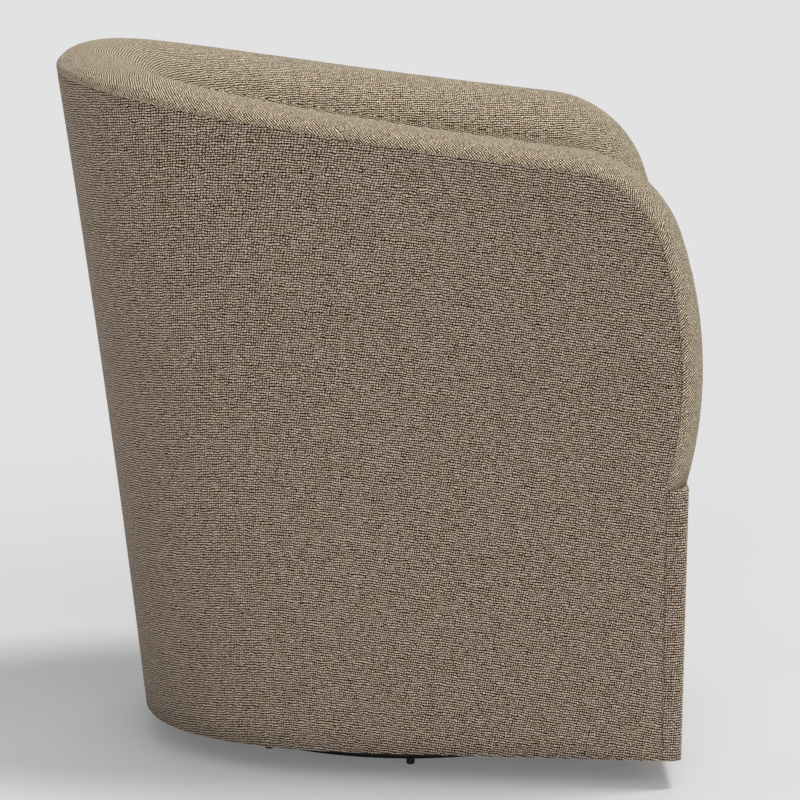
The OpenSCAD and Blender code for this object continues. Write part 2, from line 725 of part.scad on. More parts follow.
// Front panel: its plan at height z, inset from its outer face, from one end at
// y = -back round the front to the other
panel_arc_n = 4;
panel_shares = [0, 0.25, 0.5, 0.75, 1];
panel_top = arm_foot_z - gap;
function panel_y(z) = panel_front - panel_tuck * (1 - (z - hem_z) / (arm_foot_z - hem_z));
function panel_half(z, inset, back) =
  let (
    r = panel_corner_r - min(inset, panel_corner_r / 2),
    y = -panel_y(z) + inset,
    side = side_xyz(y + r, z, inset)[0],
    rear = side_xyz(-back, z, inset)[0]
  ) concat(
    [for (i = [0:panel_arc_n]) let (a = 90 * i / panel_arc_n) [side - r + r * sin(a), y + r - r * cos(a)]],
    [[rear, -back]]
  );
function panel_line(z, inset, back) =
  let (h = panel_half(z, inset, back), n = len(h)) concat(
    [for (i = [n - 1:-1:0]) [-h[i][0], h[i][1]]], h
  );
function panel_rows(z0, z1, inset, back) =
  [for (s = panel_shares) let (z = mix(z0, z1, s)) at_height(panel_line(z, inset, back), z)];
function upside_down(rows) = [for (i = [len(rows) - 1:-1:0]) rows[i]];
function without_ends(rows) = [for (r = rows) [for (i = [1:len(r) - 2]) r[i]]];

// The cover is turned in over the top and under the foot of the panel
module front_cover() {
  back = foot_y(seam_d);
  turned_back = back + panel_corner_r * sin(side_splay);
  function turned(z0, z1, inset) = concat(
    [at_height(panel_line(z0, panel_corner_r, turned_back), z0)],
    panel_rows(z0, z1, inset, back),
    [at_height(panel_line(z1, panel_corner_r, turned_back), z1)]
  );
  color(fabric_colour)
  sheet(
    upside_down(turned(hem_z, panel_top, 0)),
    upside_down(turned(hem_z + cover_t, panel_top - cover_t, cover_t))
  );
}
module front_padding() {
  inset = cover_t + gap;
  low = hem_z + cover_t;
  high = panel_top - cover_t - gap;
  function layer(inset) = upside_down(without_ends(panel_rows(low, high, inset, 0)));
  color(foam_colour) sheet(layer(inset), layer(inset + panel_pad_t));
}
module front_board() {
  inset = cover_t + panel_pad_t + 2 * gap;
  color(ply_colour)
  stack(panel_rows(hem_z + cover_t, panel_top - cover_t - gap, inset, front_back_y + gap));
}

module dust_cover() {
  color(black_colour)
  translate([0, 0, ring_bottom_z - gap - dust_t])
  linear_extrude(dust_t)
  difference() {
    polygon(outline(ring_bottom_z, hem_turn + cover_t, front_back_y));
    circle(d = plate_d + 2 * dust_gap);
  }
}

// Round base
module base_disc() {
  r = base_d / 2;
  color(black_colour)
  difference() {
    translate([0, 0, glide_h])
    rotate_extrude($fn = 180) {
      square([r - base_edge_r, base_t]);
      translate([0, base_edge_r]) square([r, base_t - 2 * base_edge_r]);
      for (z = [base_edge_r, base_t - base_edge_r]) translate([r - base_edge_r, z]) circle(r = base_edge_r);
    }
    screw_holes(disc_top - screw_len, screw_len, screw_d / 2 + run_gap);
  }
}
module floor_glides() {
  chamfer = glide_d / 9;
  color(black_colour)
  for (i = [0:glide_n - 1]) rotate([0, 0, 360 * i / glide_n]) translate([-glide_r, 0, 0])
  rotate_extrude($fn = 48) polygon([
    [0, 0], [glide_d / 2 - chamfer, 0], [glide_d / 2, chamfer], [glide_d / 2, glide_h], [0, glide_h]
  ]);
}

// Pressed plate seen from the bearing's middle plane: flange, raised race band and hub
module plate_profile(bore_r) {
  flange = plate_gap / 2;
  race = race_gap / 2;
  hub = washer_t / 2 + run_gap;
  web = plate_t;
  r1 = race_r + race_band_w / 2;
  r2 = race_r - race_band_w / 2;
  r3 = hub_d / 2;
  line = [
    [plate_d / 2, flange], [r1 + web, flange], [r1, race], [r2, race], [r2 - web, flange],
    [r3 + web, flange], [r3, hub], [bore_r, hub]
  ];
  n = len(line);
  difference() {
    polygon(concat(line, [for (i = [n - 1:-1:0]) [line[i][0], line[i][1] + plate_t]]));
    translate([race_r, 0]) circle(r = ball_d / 2 + ball_gap);
  }
}
module swivel_plate(bore_r) {
  difference() {
    rotate_extrude($fn = 180) plate_profile(bore_r);
    screw_holes(plate_gap / 2 - over, plate_t + 2 * over, screw_d / 2 + gap);
  }
}
module at_screws() {
  for (i = [0:screw_n - 1]) rotate([0, 0, 360 * (i + 0.5) / screw_n]) translate([screw_r, 0, 0]) children();
}
module screw_holes(z, h, r) {
  at_screws() translate([0, 0, z]) cylinder(h = h + over, r = r, $fn = 32);
}
// Pan-head screw standing on its tip side down from z = 0 under the head
module screw() {
  cylinder(h = screw_head_h, d1 = screw_head_d, d2 = screw_head_d * 0.8, $fn = 32);
  translate([0, 0, -screw_len]) cylinder(h = screw_len + over, d = screw_d, $fn = 32);
}
module swivel_lower_plate() {
  color(steel_colour)
  translate([0, 0, bearing_z]) mirror([0, 0, 1]) swivel_plate(pin_d / 2);
}
module swivel_upper_plate() {
  color(steel_colour)
  translate([0, 0, bearing_z]) swivel_plate(pin_d / 2 + run_gap);
}
module lower_plate_screws() {
  color(steel_colour) at_screws() translate([0, 0, disc_top + plate_t]) screw();
}
module upper_plate_screws() {
  color(steel_colour) at_screws() translate([0, 0, plate_top - plate_t]) mirror([0, 0, 1]) screw();
}
module king_pin() {
  hub_face = washer_t / 2 + run_gap + plate_t + run_gap;
  color(steel_colour)
  translate([0, 0, bearing_z]) {
    cylinder(h = 2 * hub_face, r = pin_d / 2 - run_gap, center = true);
    for (s = [0, 1]) mirror([0, 0, s]) translate([0, 0, hub_face]) cylinder(h = pin_head_t, d = pin_head_d);
  }
}
module swivel_washer() {
  color("white")
  translate([0, 0, bearing_z])
  difference() {
    cylinder(h = washer_t, d = hub_d - 4 * plate_t, center = true);
    cylinder(h = washer_t + over, r = pin_d / 2 + run_gap, center = true);
  }
}
module at_balls() {
  for (i = [0:ball_n - 1]) rotate([0, 0, 360 * i / ball_n]) translate([race_r, 0, bearing_z]) children();
}
module ball_cage() {
  side = race_band_w / 2;
  color("white")
  difference() {
    translate([0, 0, bearing_z - cage_t / 2]) difference() {
      cylinder(h = cage_t, r = race_r + side);
      translate([0, 0, -over]) cylinder(h = cage_t + 2 * over, r = race_r - side);
    }
    at_balls() cylinder(h = cage_t + over, r = ball_d / 2 + ball_gap, center = true, $fn = 32);
  }
}
module bearing_balls() {
  color(steel_colour) at_balls() sphere(d = ball_d, $fn = 24);
}

base_disc();
floor_glides();
swivel_lower_plate();
lower_plate_screws();
king_pin();
swivel_washer();
ball_cage();
bearing_balls();
swivel_upper_plate();
upper_plate_screws();
swivel_boards();
bottom_ring();
seat_ring();
lower_posts();
upper_posts();
top_rail();
arm_formers();
corner_blocks();
seat_springs();
spring_clips();
seat_deck();
seat_cushion();
inner_board();
inside_padding();
inside_cover();
tack_strip();
outer_board();
outside_cover();
front_board();
front_padding();
front_cover();
dust_cover();
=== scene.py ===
import math

import bmesh
import bpy
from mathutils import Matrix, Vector
from mathutils.bvhtree import BVHTree


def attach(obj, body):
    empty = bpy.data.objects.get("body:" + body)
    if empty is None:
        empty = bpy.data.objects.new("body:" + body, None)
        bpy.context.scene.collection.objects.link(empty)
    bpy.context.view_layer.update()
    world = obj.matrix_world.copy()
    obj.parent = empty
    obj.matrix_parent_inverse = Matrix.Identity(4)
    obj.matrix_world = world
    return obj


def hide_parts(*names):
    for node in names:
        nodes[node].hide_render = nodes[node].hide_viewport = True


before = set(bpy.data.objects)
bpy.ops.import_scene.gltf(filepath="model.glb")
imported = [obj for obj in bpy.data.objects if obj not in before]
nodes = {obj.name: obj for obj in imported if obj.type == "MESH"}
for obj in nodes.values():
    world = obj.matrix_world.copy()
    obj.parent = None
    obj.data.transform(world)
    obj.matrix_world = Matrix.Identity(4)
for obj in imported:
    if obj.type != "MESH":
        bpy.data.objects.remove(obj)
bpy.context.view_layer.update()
scene = bpy.context.scene
scene.view_settings.view_transform = "Standard"

# Camera first: it looks at the chair's side, ten degrees down
view = {"place": (-4.23156, 0.01144, 1.10833), "pitchDown": 10.0, "turn": -90.0, "lens": 171.63}
cameraData = bpy.data.cameras.new("camera")
cameraData.lens = view["lens"]
camera = bpy.data.objects.new("camera", cameraData)
camera.location = view["place"]
camera.rotation_euler = (math.radians(90 - view["pitchDown"]), 0, math.radians(view["turn"]))
scene.collection.objects.link(camera)
scene.camera = camera

# The barrel's shape, in metres and degrees, as the frame has it
barrel = {
    "hemZ": 0.031, "hemHalfW": 0.295, "hemBack": 0.292, "mid": 0.007, "power": 2.8,
    "sideSplay": 5.9, "sideLean": 4.2, "backLean": 7.1, "sideHollow": 0.004, "backHollow": 0.003,
    "wallTop": 0.105, "wallSeat": 0.092, "rimZ": 0.701, "rimSlope": 6.9, "rimLift": 0.013,
    "crownOutW": 0.044, "crownOutH": 0.017, "crownInH": 0.050, "seamDepth": 0.020,
    "armFront": 0.300, "armFrontZ": 0.442, "armFrontR": 0.467, "cornerR": 0.132, "armFootZ": 0.327,
    "coverT": 0.002, "gap": 0.0003, "hemTurn": 0.020, "tuckZ": 0.2903, "fanPower": 0.5,
}
barrel["sideRun"] = barrel["mid"] + barrel["armFront"]
steps = {"foot": 12, "corner": 18, "side": 14, "back": 38}   # columns along half of the rim
tape = {"level": 0.4, "perUnit": 100, "count": 260}   # where and how finely lengths go round the barrel


def mix(a, b, t):
    return a + (b - a) * t


def riseShare(z):
    return (z - barrel["hemZ"]) / (barrel["rimZ"] - barrel["hemZ"])


def dipShare(z):
    return 4 * riseShare(z) * (1 - riseShare(z))


def sideHalf(z):
    lean = math.tan(math.radians(barrel["sideLean"])) * (z - barrel["hemZ"])
    return barrel["hemHalfW"] + lean - barrel["sideHollow"] * dipShare(z)


def backReach(z):
    lean = math.tan(math.radians(barrel["backLean"])) * (z - barrel["hemZ"])
    return barrel["hemBack"] + lean - barrel["backHollow"] * dipShare(z)


# p is 0 at the middle of the back, 1 where the round back ends, and grows along the side
def planY(p, z):
    if p < 1:
        return barrel["mid"] + backReach(z) * math.cos(math.pi / 2 * p) ** (2 / barrel["power"])
    return barrel["mid"] - (p - 1) * barrel["sideRun"]


def planXY(p, z):
    y = planY(p, z)
    roundness = math.sin(math.pi / 2 * p) ** (2 / barrel["power"]) if p < 1 else 1
    splay = math.tan(math.radians(barrel["sideSplay"]))
    return Vector(((sideHalf(z) + splay * (barrel["mid"] - y)) * roundness, y))


def inwardAt(p, z):
    aside = 0.001
    q = max(p, 0)
    d = planXY(q + aside, z) - planXY(max(q - aside, 0), z)
    return Vector((d.y, -d.x)).normalized()


def pAt(y):
    return 1 + (barrel["mid"] - y) / barrel["sideRun"]


def wallXYZ(p, z, e):
    s = planXY(p, z) + e * inwardAt(p, z)
    return Vector((s.x, s.y, z))


def sideXYZ(y, z, e):
    return wallXYZ(pAt(y + e * math.sin(math.radians(barrel["sideSplay"]))), z, e)


# Side view of the arm: a swelling front, a corner arc and the sloping rim
slope = math.radians(barrel["rimSlope"])
swellY = barrel["armFrontR"] - barrel["armFront"]
swellZ = barrel["armFrontZ"]
rimM = math.tan(slope)
cornerDrop = barrel["rimZ"] - barrel["cornerR"] / math.cos(slope)
cornerA = 1 + rimM * rimM
cornerB = 2 * (rimM * (cornerDrop - swellZ) - swellY)
cornerC = swellY ** 2 + (cornerDrop - swellZ) ** 2 - (barrel["armFrontR"] - barrel["cornerR"]) ** 2
cornerY = (-cornerB - math.sqrt(cornerB ** 2 - 4 * cornerA * cornerC)) / (2 * cornerA)
cornerZ = cornerDrop + rimM * cornerY
rimStartY = cornerY - barrel["cornerR"] * math.sin(slope)
footAngle = math.asin((barrel["armFootZ"] - swellZ) / barrel["armFrontR"])
swellAngle = math.atan2(cornerZ - swellZ, swellY - cornerY)
rimSpan = barrel["mid"] + backReach(barrel["rimZ"]) - rimStartY
armFootY = barrel["armFrontR"] * math.cos(footAngle) - swellY


def rimLine(y):
    return barrel["rimZ"] + rimM * y + barrel["rimLift"] * (max(y - rimStartY, 0) / rimSpan) ** 2


def rimAt(p):
    # the rim's height and its place in the plan depend on each other, and settle in a few turns
    z = barrel["rimZ"]
    for turn in range(6):
        z = rimLine(planY(p, z))
    return z


def rimStations():
    # columns from the arm's foot to the middle of the back: p, the rim's height, and which way it faces there
    out = []
    for i in range(steps["foot"] + 1):
        a = mix(footAngle, swellAngle, i / steps["foot"])
        facing = max(a, 0)
        y = swellY - barrel["armFrontR"] * math.cos(a)
        z = swellZ + barrel["armFrontR"] * math.sin(a)
        out.append((pAt(y), z, math.cos(facing), math.sin(facing)))
    for i in range(1, steps["corner"] + 1):
        a = mix(swellAngle, math.pi / 2 - slope, i / steps["corner"])
        facing = mix(swellAngle, math.pi / 2, i / steps["corner"])
        y = cornerY - barrel["cornerR"] * math.cos(a)
        z = cornerZ + barrel["cornerR"] * math.sin(a)
        out.append((pAt(y), z, math.cos(facing), math.sin(facing)))
    start = pAt(rimStartY)
    ps = [mix(start, 1, i / steps["side"]) for i in range(1, steps["side"] + 1)]
    ps += [1 - i / steps["back"] for i in range(1, steps["back"] + 1)]
    return out + [(p, rimAt(p), 0, 1) for p in ps]


stations = rimStations()
halfCount = len(stations) - 1
frontCount = steps["foot"] + steps["corner"]
columnCount = 2 * halfCount


# A layer's front edge follows the swelling arm and goes straight down from the arm's foot
def frontEdgeY(z, d):
    if z < barrel["armFootZ"]:
        return d - armFootY
    if z < barrel["armFrontZ"]:
        return d + swellY - math.sqrt(barrel["armFrontR"] ** 2 - (z - swellZ) ** 2)
    return d - barrel["armFront"]


# Where column i is at depth e in from the outside and d in from the rim, a share f of the way down to lowZ
def wallPoint(i, e, d, f, lowZ):
    k = min(i, columnCount - i)
    p, rimHeight, nBack, nDown = stations[k]
    z0 = rimHeight - nDown * d
    z = mix(z0, lowZ, f)
    if k < frontCount:
        edge = d - barrel["armFront"]
        y0 = edge if z0 < barrel["armFrontZ"] else planY(p, z0) + nBack * d
        low = mix(edge, rimStartY, (k / frontCount) ** barrel["fanPower"])
        fan = mix(y0, low, f ** barrel["fanPower"])
        share = (fan - edge) / (rimStartY - edge)
        p = pAt(mix(frontEdgeY(z, d), rimStartY, share) if z < barrel["armFrontZ"] else fan)
    w = wallXYZ(p, z, e)
    if i <= halfCount:
        w.x = -w.x
    return w, p if i > halfCount else -p


def innerPoint(i, e, d, f=0):
    # the same for the layers of the inside, which all go down to the tuck
    return wallPoint(i, e, d, f, barrel["tuckZ"])[0]


def runTable(e):
    # running length round the barrel at the tape's level, for each p, at depth e
    table = [0.0]
    for i in range(1, tape["count"] + 1):
        a = wallXYZ((i - 1) / tape["perUnit"], tape["level"], e)
        table.append(table[-1] + (wallXYZ(i / tape["perUnit"], tape["level"], e) - a).length)
    return table


outerRun = runTable(0)


def lookUp(table, p):
    q = min(abs(p) * tape["perUnit"], tape["count"] - 1)
    return mix(table[int(q)], table[int(q) + 1], q - int(q))


def rimTable(e, d):
    # running length along the rim itself, down the arms' fronts too, zero at the back's middle
    points = [innerPoint(i, e, d) for i in range(columnCount + 1)]
    table = [0.0]
    for a, b in zip(points, points[1:]):
        table.append(table[-1] + (b - a).length)
    return [run - table[halfCount] for run in table]


def smooth(obj):
    for f in obj.data.polygons:
        f.use_smooth = True


def meshObject(name, bm, material):
    mesh = bpy.data.meshes.new(name)
    bm.to_mesh(mesh)
    bm.free()
    obj = bpy.data.objects.new(name, mesh)
    scene.collection.objects.link(obj)
    mesh.materials.append(material)
    smooth(obj)
    return obj


# A grid whose points are put where place(i, j) says; clothAt gives the weave's coordinates in metres for
# a corner of a face, by the corner's i and j and the face's lowest row
def laidGrid(bm, columns, rows, place, clothAt=None):
    made = bmesh.ops.create_grid(bm, x_segments=columns, y_segments=rows, size=1)["verts"]
    spot = {v: (round((v.co.x + 1) / 2 * columns), round((v.co.y + 1) / 2 * rows)) for v in made}
    for v in made:
        v.co = place(*spot[v])
    if clothAt:
        layer = bm.loops.layers.uv.get("weave") or bm.loops.layers.uv.new("weave")
        for f in {f for v in made for f in v.link_faces}:
            row = min(spot[v][1] for v in f.verts)
            for loop in f.loops:
                loop[layer].uv = clothAt(*spot[loop.vert], row)


def turned(u, v, degrees):
    a = math.radians(degrees)
    return u * math.cos(a) - v * math.sin(a), u * math.sin(a) + v * math.cos(a)


# Materials
def newMaterial(name):
    mat = bpy.data.materials.new(name)
    mat.use_nodes = True
    tree = mat.node_tree
    return mat, tree, tree.nodes["Principled BSDF"]


def link(tree, a, b):
    tree.links.new(a, b)


def setSockets(node, values):
    for label, value in values.items():
        node.inputs[label].default_value = value


def mathNode(tree, operation, a, b=None, c=None):
    n = tree.nodes.new("ShaderNodeMath")
    n.operation = operation
    for socket, value in zip(n.inputs, (a, b, c)):
        if value is None:
            continue
        if isinstance(value, (int, float)):
            socket.default_value = value
        else:
            link(tree, value, socket)
    return n.outputs[0]


def weightedSum(tree, parts):
    total = None
    for value, weight in parts:
        share = mathNode(tree, "MULTIPLY", value, weight)
        total = share if total is None else mathNode(tree, "ADD", total, share)
    return total


def noiseNode(tree, vector, scale, detail, roughness):
    n = tree.nodes.new("ShaderNodeTexNoise")
    setSockets(n, {"Scale": scale, "Detail": detail, "Roughness": roughness})
    link(tree, vector, n.inputs["Vector"])
    return n.outputs["Fac"]


def scaled(tree, vector, scale, place=(0, 0, 0)):
    n = tree.nodes.new("ShaderNodeMapping")
    setSockets(n, {"Scale": scale, "Location": place})
    link(tree, vector, n.inputs["Vector"])
    return n.outputs[0]


def ramp(tree, fac, stops):
    n = tree.nodes.new("ShaderNodeValToRGB")
    while len(n.color_ramp.elements) < len(stops):
        n.color_ramp.elements.new(0.5)
    for element, (at, colour) in zip(n.color_ramp.elements, stops):
        element.position = at
        element.color = (*colour, 1)
    link(tree, fac, n.inputs["Fac"])
    return n.outputs["Color"]


def mixColour(tree, fac, a, b, kind="MIX"):
    n = tree.nodes.new("ShaderNodeMix")
    n.data_type = "RGBA"
    n.blend_type = kind
    for socket, value in ((n.inputs[0], fac), (n.inputs[6], a), (n.inputs[7], b)):
        if isinstance(value, (int, float)):
            socket.default_value = value
        elif isinstance(value, tuple):
            socket.default_value = (*value, 1)
        else:
            link(tree, value, socket)
    return n.outputs[2]


def newGroup(name, inputs, outputs):
    tree = bpy.data.node_groups.new(name, "ShaderNodeTree")
    for direction, sockets in (("INPUT", inputs), ("OUTPUT", outputs)):
        for label, kind in sockets.items():
            tree.interface.new_socket(label, in_out=direction, socket_type="NodeSocket" + kind)
    return tree, tree.nodes.new("NodeGroupInput"), tree.nodes.new("NodeGroupOutput")


def placeGroup(tree, group, values):
    n = tree.nodes.new("ShaderNodeGroup")
    n.node_tree = group
    setSockets(n, values)
    return n


def bumpInto(tree, shader, height, strength, distance):
    bump = tree.nodes.new("ShaderNodeBump")
    setSockets(bump, {"Strength": strength, "Distance": distance})
    link(tree, height, bump.inputs["Height"])
    link(tree, bump.outputs[0], shader.inputs["Normal"])


def roughBetween(tree, shader, share, rough):
    spread = tree.nodes.new("ShaderNodeMapRange")
    setSockets(spread, {"To Min": rough[0], "To Max": rough[1]})
    link(tree, share, spread.inputs["Value"])
    link(tree, spread.outputs[0], shader.inputs["Roughness"])


# Plain weave of thick and thin yarns: pale weft over a darker warp, with the pitches in metres of cloth.
# A rise is a yarn's middle height and its swing. Under shares is how much each thing lightens the yarns,
# and tone is the range of their sum that goes from the dark colour to the light one
weave = {
    "warpPitch": 0.00252, "weftPitch": 0.00269, "sway": 0.0045, "swayScale": 120, "swayDetail": 3,
    "weftRise": (0.69, 0.31), "warpRise": (0.45, 0.53), "tone": (1.375, 1.815), "slubHeight": 0.6,
    "slubScale": (0.42, 1.25, 0), "slubUpScale": (1.3, 0.5, 0), "slubUpPlace": (31, 17, 0),
    "fibreScale": (640, 700, 0), "blotchScale": (28, 60, 0), "blotchFrom": 0.46, "blotchTo": 0.70,
    "blotchMost": (0.5, 0.5, 0.5),
    # the height share is painted shade: yarns come out lighter where they ride high and darker where they dip
    # under. The other shares are the yarns' own tone
    "shares": {"slub": 0.40, "slubUp": 0.16, "spot": 0.22, "weftOver": 0.08, "height": 1.40, "fibre": 0.55},
}


def yarnCells(tree, place):
    # yarn numbers and the place within each cell, along and across
    cells = tree.nodes.new("ShaderNodeVectorMath")
    cells.operation = "FLOOR"
    link(tree, place, cells.inputs[0])
    within = tree.nodes.new("ShaderNodeVectorMath")
    within.operation = "FRACTION"
    link(tree, place, within.inputs[0])
    return cells.outputs[0], within.outputs[0]


def separate(tree, vector):
    split = tree.nodes.new("ShaderNodeSeparateXYZ")
    link(tree, vector, split.inputs[0])
    return split.outputs["X"], split.outputs["Y"]


def yarnHeight(tree, across, along, number, rise):
    # a round yarn that goes over and under its neighbours
    middle, swing = rise
    roundness = mathNode(tree, "SINE", mathNode(tree, "MULTIPLY", across, math.pi))
    wave = mathNode(tree, "MULTIPLY", mathNode(tree, "ADD", along, number), math.pi)
    level = mathNode(tree, "MULTIPLY_ADD", mathNode(tree, "SINE", wave), swing, middle)
    return mathNode(tree, "MULTIPLY", roundness, level)


def makeTweedGroup():
    tree, inp, out = newGroup(
        "tweedWeave",
        {"Cloth": "Vector", "Dark": "Color", "Middle": "Color", "Light": "Color", "Patch": "Color"},
        {"Colour": "Color", "Height": "Float", "Fibre": "Float"})
    cloth = inp.outputs["Cloth"]
    # the yarns sway, so the place on the cloth is shifted by a noise before it is cut into cells
    sway = tree.nodes.new("ShaderNodeTexNoise")
    setSockets(sway, {"Scale": weave["swayScale"], "Detail": weave["swayDetail"]})
    link(tree, cloth, sway.inputs["Vector"])
    shift = tree.nodes.new("ShaderNodeVectorMath")
    shift.operation = "MULTIPLY_ADD"
    link(tree, sway.outputs["Color"], shift.inputs[0])
    shift.inputs[1].default_value = (weave["sway"], weave["sway"], 0)
    link(tree, cloth, shift.inputs[2])
    bent = scaled(tree, shift.outputs[0], (1 / weave["warpPitch"], 1 / weave["weftPitch"], 0))
    cells, within = yarnCells(tree, bent)
    bentX, bentY = separate(tree, bent)
    cellX, cellY = separate(tree, cells)
    withinX, withinY = separate(tree, within)
    weft = yarnHeight(tree, withinY, bentX, cellY, weave["weftRise"])
    warp = yarnHeight(tree, withinX, bentY, mathNode(tree, "ADD", cellX, 1), weave["warpRise"])
    # every crossing has its own shade, and thick and thin stretches run along the yarns
    spot = tree.nodes.new("ShaderNodeTexWhiteNoise")
    spot.noise_dimensions = "2D"
    link(tree, cells, spot.inputs["Vector"])
    lighter = {
        "slub": noiseNode(tree, scaled(tree, bent, weave["slubScale"]), 1, 1.0, 0.5),
        "slubUp": noiseNode(
            tree, scaled(tree, bent, weave["slubUpScale"], weave["slubUpPlace"]), 1, 1.0, 0.5),
        "spot": spot.outputs["Value"],
        "weftOver": mathNode(tree, "GREATER_THAN", weft, warp),
        # used for the bump, and in the tone as painted shade in the weave's hollows
        "height": mathNode(tree, "MAXIMUM", weft, warp),
        "fibre": noiseNode(tree, scaled(tree, cloth, weave["fibreScale"]), 1, 2.0, 0.6),
    }
    tone = tree.nodes.new("ShaderNodeMapRange")
    tone.interpolation_type = "SMOOTHSTEP"
    setSockets(tone, {"From Min": weave["tone"][0], "From Max": weave["tone"][1]})
    shade = weightedSum(tree, [(lighter[name], share) for name, share in weave["shares"].items()])
    link(tree, shade, tone.inputs["Value"])
    # dark to middle over the first half of the tone, middle to light over the second
    twice = mathNode(tree, "MULTIPLY", tone.outputs[0], 2)
    low = mixColour(tree, twice, inp.outputs["Dark"], inp.outputs["Middle"])
    high = mathNode(tree, "MAXIMUM", mathNode(tree, "SUBTRACT", twice, 1), 0)
    yarnColour = mixColour(tree, high, low, inp.outputs["Light"])
    blotch = noiseNode(tree, scaled(tree, cloth, weave["blotchScale"]), 1, 2.0, 0.6)
    stops = [(weave["blotchFrom"], (0, 0, 0)), (weave["blotchTo"], weave["blotchMost"])]
    toned = mixColour(tree, ramp(tree, blotch, stops), yarnColour, inp.outputs["Patch"], "SOFT_LIGHT")
    link(tree, toned, out.inputs["Colour"])
    thickness = weightedSum(tree, [(lighter["height"], 1), (lighter["slub"], weave["slubHeight"])])
    link(tree, thickness, out.inputs["Height"])
    link(tree, lighter["fibre"], out.inputs["Fibre"])
    return tree


tweedGroup = makeTweedGroup()
# One tweed made as two copies. This copy's middle and light yarns are darker: painted shade for the outside
# wall, which faces away from the top lights. The copy below is lighter: painted light for the inside, the
# rim, the front panel and the cushion
shadedYarns = {
    "dark": (0.030, 0.006, 0.001), "middle": (0.174, 0.103, 0.046), "light": (0.685, 0.575, 0.475),
    "patch": (0.45, 0.44, 0.26), "bump": 0.45, "bumpDepth": 0.0008, "rough": (0.82, 1.0), "specular": 0.2,
    "sheen": 0.1, "sheenRough": 0.5, "sheenTint": (0.95, 0.86, 0.72),
}
litYarns = dict(shadedYarns, middle=(0.212, 0.146, 0.052), light=(0.90, 0.78, 0.60))


def tweedMaterial(name, tweed):
    mat, tree, shader = newMaterial(name)
    cloth = tree.nodes.new("ShaderNodeUVMap")
    cloth.uv_map = "weave"
    group = placeGroup(tree, tweedGroup, {
        "Dark": (*tweed["dark"], 1), "Middle": (*tweed["middle"], 1),
        "Light": (*tweed["light"], 1), "Patch": (*tweed["patch"], 1)})
    link(tree, cloth.outputs[0], group.inputs["Cloth"])
    link(tree, group.outputs["Colour"], shader.inputs["Base Color"])
    bumpInto(tree, shader, group.outputs["Height"], tweed["bump"], tweed["bumpDepth"])
    roughBetween(tree, shader, group.outputs["Fibre"], tweed["rough"])
    setSockets(shader, {
        "Sheen Weight": tweed["sheen"], "Sheen Roughness": tweed["sheenRough"],
        "Sheen Tint": (*tweed["sheenTint"], 1), "Specular IOR Level": tweed["specular"]})
    return mat


# Wood grain, long along one axis: distorted bands with fine pores
woodGrain = {
    "bands": {"Scale": 40, "Distortion": 5, "Detail": 2, "Detail Scale": 1.5}, "bandShare": 0.65,
    "poreScale": (900, 900, 60), "poreShare": 0.35,
}


def makeGrainGroup():
    tree, inp, out = newGroup("woodGrain", {"Place": "Vector", "Early": "Color", "Late": "Color"},
                              {"Colour": "Color", "Height": "Float"})
    place = inp.outputs["Place"]
    bands = tree.nodes.new("ShaderNodeTexWave")
    bands.bands_direction = "X"
    setSockets(bands, woodGrain["bands"])
    link(tree, place, bands.inputs["Vector"])
    pores = noiseNode(tree, scaled(tree, place, woodGrain["poreScale"]), 1, 2, 0.6)
    both = weightedSum(tree, [(bands.outputs["Fac"], woodGrain["bandShare"]),
                              (pores, woodGrain["poreShare"])])
    link(tree, mixColour(tree, both, inp.outputs["Early"], inp.outputs["Late"]), out.inputs["Colour"])
    link(tree, pores, out.inputs["Height"])
    return tree


# Fine mottle for painted, moulded and metal surfaces, stronger and weaker by a broad noise
mottle = {"fineDetail": 3, "broadScale": 35, "wornFrom": 0.15, "wornTo": 0.38}


def makeMottleGroup():
    tree, inp, out = newGroup(
        "fineMottle", {"Place": "Vector", "Size": "Float", "Base": "Color", "Worn": "Color"},
        {"Colour": "Color", "Mask": "Float", "Height": "Float"})
    place = inp.outputs["Place"]
    fine = tree.nodes.new("ShaderNodeTexNoise")
    fine.inputs["Detail"].default_value = mottle["fineDetail"]
    link(tree, place, fine.inputs["Vector"])
    link(tree, inp.outputs["Size"], fine.inputs["Scale"])
    broad = noiseNode(tree, place, mottle["broadScale"], 3, 0.6)
    mask = tree.nodes.new("ShaderNodeMapRange")
    setSockets(mask, {"From Min": mottle["wornFrom"], "From Max": mottle["wornTo"]})
    link(tree, mathNode(tree, "MULTIPLY", fine.outputs["Fac"], broad), mask.inputs["Value"])
    colour = mixColour(tree, mask.outputs[0], inp.outputs["Base"], inp.outputs["Worn"])
    link(tree, colour, out.inputs["Colour"])
    link(tree, mask.outputs[0], out.inputs["Mask"])
    link(tree, fine.outputs["Fac"], out.inputs["Height"])
    return tree


grainGroup = makeGrainGroup()
mottleGroup = makeMottleGroup()


def objectPlace(tree):
    return tree.nodes.new("ShaderNodeTexCoord").outputs["Object"]


def woodMaterial(name, early, late, direction, rough=0.62, bump=0.25, bumpDepth=0.0004):
    mat, tree, shader = newMaterial(name)
    mapping = tree.nodes.new("ShaderNodeMapping")
    mapping.inputs["Rotation"].default_value = direction
    link(tree, objectPlace(tree), mapping.inputs["Vector"])
    group = placeGroup(tree, grainGroup, {"Early": (*early, 1), "Late": (*late, 1)})
    link(tree, mapping.outputs[0], group.inputs["Place"])
    link(tree, group.outputs["Colour"], shader.inputs["Base Color"])
    bumpInto(tree, shader, group.outputs["Height"], bump, bumpDepth)
    shader.inputs["Roughness"].default_value = rough
    return mat


